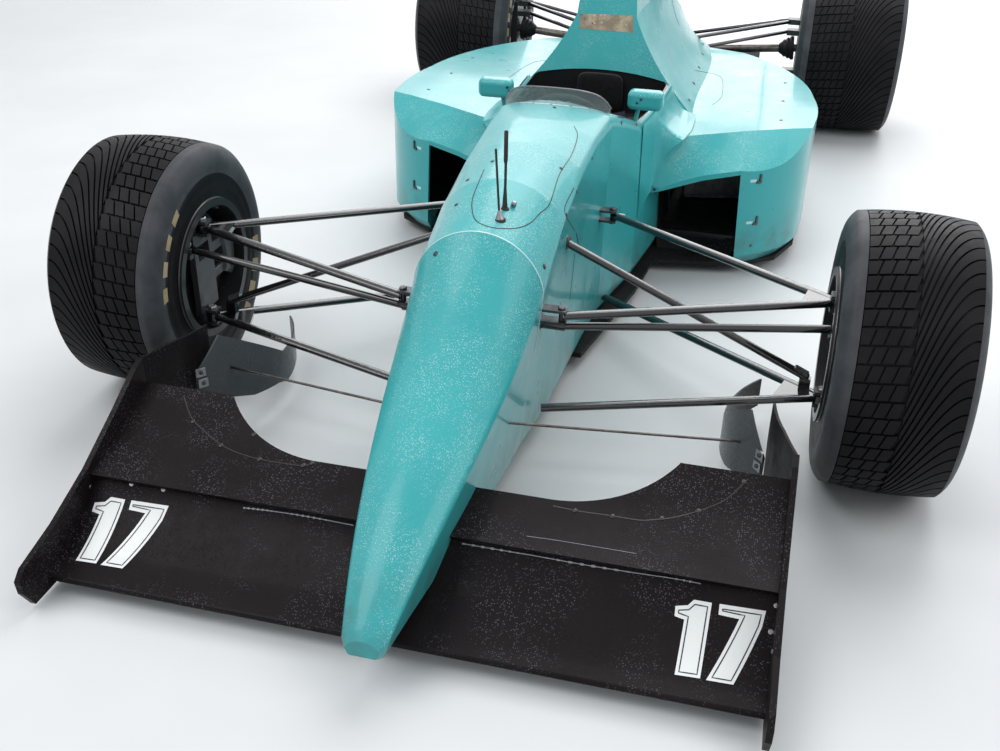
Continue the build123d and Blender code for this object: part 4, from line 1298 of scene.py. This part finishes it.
# Wheels: centre nut and its bolts, lip beads and valve, balance weights
WHEELS = (("front", FRONT_WHEEL, 0.142), ("rear", REAR_WHEEL, 0.197))
HUB_OFFSET = Vector((0, 0.042, 0))
LIP_RADIUS, LIP_STEPS = 0.1765, 72
WEIGHT_RADIUS = 0.157


def make_wheel(body, rim, sign, x, station, z, half):
    out = Vector((sign, 0, 0))
    centre = at(sign * x, station, z)
    nut, lips, weights = Build(), Build(), Build()
    face = (cast(rim, centre + out * 0.5 + HUB_OFFSET, -out)[0].x - sign * x) * sign
    hub = centre + out * face
    nut.lathe(hub, out, ((-0.004, 0.042), (0.004, 0.042), (0.006, 0.039)), 36)
    nut.lathe(hub + out * 0.005, out, ((0, 0.031), (0.024, 0.031), (0.029, 0.027)), 6)
    nut.lathe(hub + out * 0.030, out, ((0, 0.019), (0.008, 0.019), (0.010, 0.016)), 24)
    for k in range(6):
        nut.stud(hub + spoke(math.pi * (k + 0.5) / 3) * 0.036 + out * 0.006, out, 0.0032, 0.003, 8)
    for way in (1, -1):
        section = [(way * (half + 0.0006) + 0.0028 * s, LIP_RADIUS + 0.0032 * c) for c, s in circle(8)]
        lips.grid([
            [centre + out * across + Vector((0, y, rise)) * radius for across, radius in section]
            for y, rise in circle(LIP_STEPS)
        ], closed_rows=True, closed_cols=True)
    valve = ((half - 0.028, 0.10, 0.116), (half - 0.004, 0.098, 0.114))
    lips.rod([centre + out * depth + Vector((0, y, rise)) for depth, y, rise in valve], [0.0042, 0.0034], 10)
    for k in range(3):
        way = spoke(0.9 + 0.12 * k)
        spot = centre - out * (half - 0.035) + way * WEIGHT_RADIUS
        weights.slab(spot, (0.010, 0.008, 0.0015), frame_of(way, out))
    nut.done(f"{body}_nut", "bare_metal", body)
    lips.done(f"{body}_lips", "rim_edge", body)
    weights.done(f"{body}_weights", "bare_metal", body)


def make_wheels():
    for end, wheel, half in WHEELS:
        for side, sign in SIDES:
            make_wheel(f"{end}_wheel_{side}", f"{end}_rim_{side}", sign, *wheel, half)


# Front calipers: x of the disc, height of the axle, and the section as (distance outward, radius)
DISC_X, AXLE_Z = 0.822, FRONT_WHEEL[2]
CALIPER = (
    (-0.014, 0.088), (-0.040, 0.088), (-0.046, 0.096), (-0.046, 0.138), (-0.038, 0.149), (0.030, 0.149),
    (0.038, 0.140), (0.038, 0.096), (0.033, 0.089), (0.014, 0.089), (0.014, 0.1385), (-0.014, 0.1385),
)
CALIPER_STEPS = 12
LUG_X, LUG_STATION, LUG_RISE = 0.7880, 0.060, 0.036


def make_calipers():
    """A caliper over the rear of each front disc, on two lugs from the upright."""
    for side, sign in SIDES:
        out = Vector((sign, 0, 0))
        centre = at(sign * DISC_X, 0, AXLE_Z)
        build = Build()
        rows = []
        for k in range(CALIPER_STEPS + 1):
            way = spoke(math.radians(-30 + 5 * k))
            shrink = 0.004 if k in (0, CALIPER_STEPS) else 0.0
            rows.append([
                centre + out * a * (1 - shrink / 0.05) + way * (r - shrink * (r > 0.1386)) for a, r in CALIPER
            ][::sign])
        build.grid(rows, closed_cols=True)
        cap = tuple(range(len(CALIPER)))
        build.add(rows[0], [cap])
        build.add(rows[-1], [cap[::-1]])
        for z in (-LUG_RISE, LUG_RISE):
            build.slab(at(sign * LUG_X, LUG_STATION, AXLE_Z + z), (0.0055, 0.044, 0.012))
            build.stud(centre - out * 0.046 + spoke(math.asin(z / 0.12)) * 0.120, -out, 0.0075, 0.006, 6)
        build.done(f"caliper_{side}", "upright_metal", f"knuckle_{side}")


# Rear: gearbox ribs, driveshaft boots, wing bolts, tailpipe bands, lamp ribs
RIB_STATIONS = (2.48, 2.60, 2.72, 2.84, 2.96, 3.06)
SHAFT_INNER, SHAFT_OUTER = (0.098, 2.850, 0.2905), (0.622, 2.8595, 0.3332)
BOOT = ((0, 0.050), (0.012, 0.052), (0.020, 0.044), (0.028, 0.046), (0.036, 0.037), (0.044, 0.038),
        (0.052, 0.029), (0.062, 0.022), (0.066, 0.018))
PYLON_X, PYLON_BOLTS = 0.060, ((3.03, 0.815), (3.11, 0.81), (3.02, 0.33), (3.09, 0.33))
REAR_PLATE_BOLTS = ((0.25, 0.80), (0.45, 0.82), (0.65, 0.86), (0.8, 0.90))
TAILPIPE = ((0.190, 2.400, 0.250), (0.215, 2.590, 0.262))
BAND = ((-0.004, 0.0325), (-0.002, 0.0345), (0.002, 0.0345), (0.004, 0.0325))
LAMP_RIBS = 9


def make_rear():
    ribs, boots, bolts, bands, lens = [Build() for _ in range(5)]
    for station in RIB_STATIONS:
        ribs.seam(ring_hits("gearbox", station, 178, 60, 0.24), 0.009, 0.004)
    low, high = box_of("rear_wing_end_plates")
    for _, sign in SIDES:
        inner, outer = sided(sign, *SHAFT_INNER), sided(sign, *SHAFT_OUTER)
        along = (outer - inner).normalized()
        boots.lathe(inner, along, BOOT, 28)
        boots.lathe(outer, -along, BOOT, 28)
        for station, z in PYLON_BOLTS:
            for way in (1, -1):
                spot = at(sign * (PYLON_X + way * 0.004), station, z)
                bolts.stud(spot, Vector((sign * way, 0, 0)), 0.007, 0.004, 6)
        plate = [(low.y + (high.y - low.y) * t + MID, z) for t, z in REAR_PLATE_BOLTS]
        bolts.studs([from_side("rear_wing_end_plates", sign, *spot) for spot in plate], 0.0075, 0.003, 8)
        a, b = [sided(sign, *end) for end in TAILPIPE]
        along = (b - a).normalized()
        for off in (0.02, 0.11, 0.184):
            bands.lathe(a + along * off, along, BAND, 28)
    low, high = box_of("rain_light")
    half = ((high.x - low.x) / 26, 0.0016, (high.z - low.z) * 0.43)
    for k in range(LAMP_RIBS):
        x = low.x + (high.x - low.x) * (k + 0.5) / LAMP_RIBS
        lens.slab(Vector((x, high.y + 0.0005, (low.z + high.z) / 2)), half)
    ribs.done("gearbox_ribs", "case_metal")
    boots.done("driveshaft_boots", "trim_black")
    bolts.done("rear_wing_bolts", "fastener")
    bands.done("tailpipe_bands", "steel_tube")
    lens.done("rain_light_ribs", "lens")


# Coolers: middle of each, its angle in plan, and its fins
COOLER, COOLER_ANGLE = (0.400, 1.500, 0.253), 12
FIN_COUNT, FIN_SPREAD = 34, 0.098


def make_radiator_fins():
    """Thin fins standing proud of each cooler's front face, in a plain frame."""
    for side, sign in SIDES:
        fins = Build()
        turn = Matrix.Rotation(sign * math.radians(COOLER_ANGLE), 3, "Z")
        front = sided(sign, *COOLER) + turn @ Vector((0, -0.031, 0))
        for k in range(FIN_COUNT):
            off = turn @ Vector((-FIN_SPREAD + 2 * FIN_SPREAD * k / (FIN_COUNT - 1), 0, 0))
            fins.slab(front + off, (0.0012, 0.0025, 0.140), turn, 0.3)
        for z in (-0.144, 0.144):
            fins.slab(front + Vector((0, 0, z)), (0.103, 0.003, 0.005), turn, 0.3)
        fins.done(f"radiator_fins_{side}", "case_metal")


# Duct linings, dark sheets of painted shade: stations, and the x and height of the line that they are cast
# from
DUCT_STATIONS = (1.10, 1.16, 1.22, 1.30, 1.40, 1.52, 1.70, 1.90)
DUCT_X, DUCT_REAR_X, DUCT_REAR, DUCT_Z = 0.375, 0.42, 1.6, 0.25


def make_duct_shade_linings():
    """A dark lining on the walls inside each pod, behind its mouth, as painted shade."""
    for side, sign in SIDES:
        nodes = (f"sidepod_{side}", "monocoque", "underfloor", "engine_cover", "engine_block")
        build = Build()
        rows = []
        for station in DUCT_STATIONS:
            middle = at(sign * (DUCT_X if station < DUCT_REAR else DUCT_REAR_X), station, DUCT_Z)
            hits = [cast(nodes, middle, Vector((s, 0, c))) for c, s in circle(48)]
            if all(hits):
                rows.append([point + normal * 0.0012 for point, normal in hits])
        build.grid(rows, closed_cols=True)
        # The lining's dark carbon stands for painted shade
        build.done(f"duct_shade_lining_{side}", "floor_carbon", sharp=50)


# The hollow shoulder between cockpit rim and pod: rim x, station, z, then foot x, station, z
SHOULDER_ROWS = (
    ((0.2150, 0.790, 0.550), (0.2165, 0.830, 0.250)),
    ((0.2200, 0.850, 0.546), (0.2265, 0.893, 0.280)),
    ((0.2245, 0.910, 0.543), (0.2385, 0.926, 0.316)),
    ((0.2280, 0.960, 0.540), (0.2510, 0.941, 0.350)),
    ((0.2310, 1.010, 0.538), (0.2670, 0.957, 0.389)),
    ((0.2335, 1.060, 0.536), (0.2880, 0.972, 0.428)),
    ((0.2360, 1.120, 0.534), (0.3180, 1.003, 0.4515)),
    ((0.2390, 1.200, 0.533), (0.3310, 1.120, 0.4510)),
    ((0.2420, 1.296, 0.532), (0.3270, 1.290, 0.4480)),
)
SHOULDER_STEPS = 16
HOLLOW_X, HOLLOW_Z = 0.10, 0.16

# The skin's lift over the CAD at its edge and elsewhere, and how it is smoothed
SKIN_EDGE, SKIN_LIFT = 0.0004, 0.0016
SKIN_ROUNDS, SKIN_AROUND, SKIN_SELF = 4, 0.19, 0.24


def make_shoulder(side, sign):
    """A smooth skin over one shoulder: pushed out of the CAD and smoothed in turns."""
    nodes = (f"sidepod_{side}", "monocoque", "engine_cover")
    tops, feet = [smooth_path(points, 5) for points in zip(*SHOULDER_ROWS)]
    rows = []
    for a, b in zip(tops, feet):
        hollow = Vector((a.x + HOLLOW_X * (b.x - a.x), (a.y + b.y) / 2, b.z + HOLLOW_Z * (a.z - b.z)))
        row = []
        for k in range(SHOULDER_STEPS + 1):
            t = k / SHOULDER_STEPS
            p = a * (1 - t) ** 2 + hollow * 2 * t * (1 - t) + b * t * t
            row.append(sided(sign, p.x, p.y, p.z))
        rows.append(row)
    last, across = len(rows) - 1, SHOULDER_STEPS

    def on_edge(i, k):
        return i in (0, last) or k in (0, across)

    def outward(i, k):
        ahead = rows[min(i + 1, last)][k] - rows[max(i - 1, 0)][k]
        down = rows[i][min(k + 1, across)] - rows[i][max(k - 1, 0)]
        normal = ahead.cross(down) * sign
        normal = -normal if normal.z + normal.x * sign < 0 else normal
        return normal.normalized()

    def pushed(i, k):
        point, normal = rows[i][k], outward(i, k)
        hit = cast(nodes, point + normal * 0.05, -normal)
        lift = SKIN_EDGE if on_edge(i, k) else SKIN_LIFT
        return hit[0] + normal * lift if hit and (hit[0] - point).dot(normal) > -lift else point

    def smoothed(i, k):
        if on_edge(i, k):
            return rows[i][k]
        around = rows[i - 1][k] + rows[i + 1][k] + rows[i][k - 1] + rows[i][k + 1]
        return around * SKIN_AROUND + rows[i][k] * SKIN_SELF

    for step in range(SKIN_ROUNDS):
        rows = [[pushed(i, k) for k in range(across + 1)] for i in range(last + 1)]
        if step < SKIN_ROUNDS - 1:
            rows = [[smoothed(i, k) for k in range(across + 1)] for i in range(last + 1)]
    build = Build()
    build.grid(rows if sign < 0 else [row[::-1] for row in rows])
    build.done(f"pod_shoulder_{side}", "body_paint", sharp=60)


def make_shoulders():
    for side, sign in SIDES:
        make_shoulder(side, sign)


# Studio
WORLD_LIGHT, WORLD_STRENGTH = (0.93, 0.97, 1.0, 1), 0.62
BACKDROP, BACKDROP_STRENGTH = (0.97, 0.98, 1.0, 1), 1.0
FLOOR_REACH = 400
LAMP_AIM = Vector((0, 0.2, 0.3))
LAMPS = (
    # name, place, size, power
    ("key_light", (-2.5, -3.0, 4.5), 3.5, 105),
    ("top_light", (0.5, 2.0, 5.0), 5.0, 150),
    ("fill_light", (3.8, -2.0, 3.2), 3.0, 55),
    ("sky_light", (0.2, 7.5, 4.7), 9.0, 420),
)


def make_world(scene):
    """A soft sky that lights the car, behind a paler backdrop for the rays that see it."""
    world = bpy.data.worlds.new("studio_world")
    scene.world = world
    world.use_nodes = True
    nodes, links = world.node_tree.nodes, world.node_tree.links
    plain, shown = nodes["Background"], nodes.new("ShaderNodeBackground")
    for node, colour, strength in (
        (plain, WORLD_LIGHT, WORLD_STRENGTH), (shown, BACKDROP, BACKDROP_STRENGTH),
    ):
        node.inputs["Color"].default_value = colour
        node.inputs["Strength"].default_value = strength
    path = nodes.new("ShaderNodeLightPath")
    seen = path.outputs["Is Camera Ray"]
    for ray in ("Is Glossy Ray", "Is Transmission Ray"):
        either = nodes.new("ShaderNodeMath")
        either.operation = "MAXIMUM"
        links.new(seen, either.inputs[0])
        links.new(path.outputs[ray], either.inputs[1])
        seen = either.outputs[0]
    blend = nodes.new("ShaderNodeMixShader")
    for socket, source in zip(blend.inputs, (seen, plain.outputs[0], shown.outputs[0])):
        links.new(source, socket)
    links.new(blend.outputs[0], nodes["World Output"].inputs["Surface"])


def make_studio():
    scene = bpy.context.scene
    scene.view_settings.view_transform = "Standard"
    make_world(scene)

    mesh = bpy.data.meshes.new("studio_floor")
    corners = [(x * FLOOR_REACH, y * FLOOR_REACH, 0) for x, y in ((-1, -1), (1, -1), (1, 1), (-1, 1))]
    mesh.from_pydata(corners, [], [(0, 1, 2, 3)])
    floor = bpy.data.objects.new("studio_floor", mesh)
    scene.collection.objects.link(floor)
    s = Shader("pale_floor")
    tone = s.mix(s.vary(1.5), (0.62, 0.63, 0.64), (0.67, 0.68, 0.69))
    mesh.materials.append(s.set(Base_Color=tone, Roughness=0.55))

    for name, place, size, power in LAMPS:
        data = bpy.data.lights.new(name, "AREA")
        data.shape = "DISK"
        data.size = size
        data.energy = power
        lamp = bpy.data.objects.new(name, data)
        lamp.location = place
        lamp.rotation_euler = (LAMP_AIM - Vector(place)).to_track_quat("-Z", "Y").to_euler()
        scene.collection.objects.link(lamp)


def dress():
    make_shoulders()
    make_duct_shade_linings()
    make_panel_lines()
    make_fasteners()
    make_pod_clips()
    make_numbers()
    make_wing_trim()
    make_vane_brackets()
    make_screen_trim()
    make_aerial_bases()
    make_mirror_glass()
    pad("headrest_pad", "headrest", 0.35)
    make_instruments()
    make_harness()
    make_steering_boss()
    make_tape()
    make_suspension_fittings()
    make_wheels()
    make_calipers()
    make_rear()
    make_radiator_fins()


make_camera()
make_studio()
dress_cad()
make_tyres()
dress()
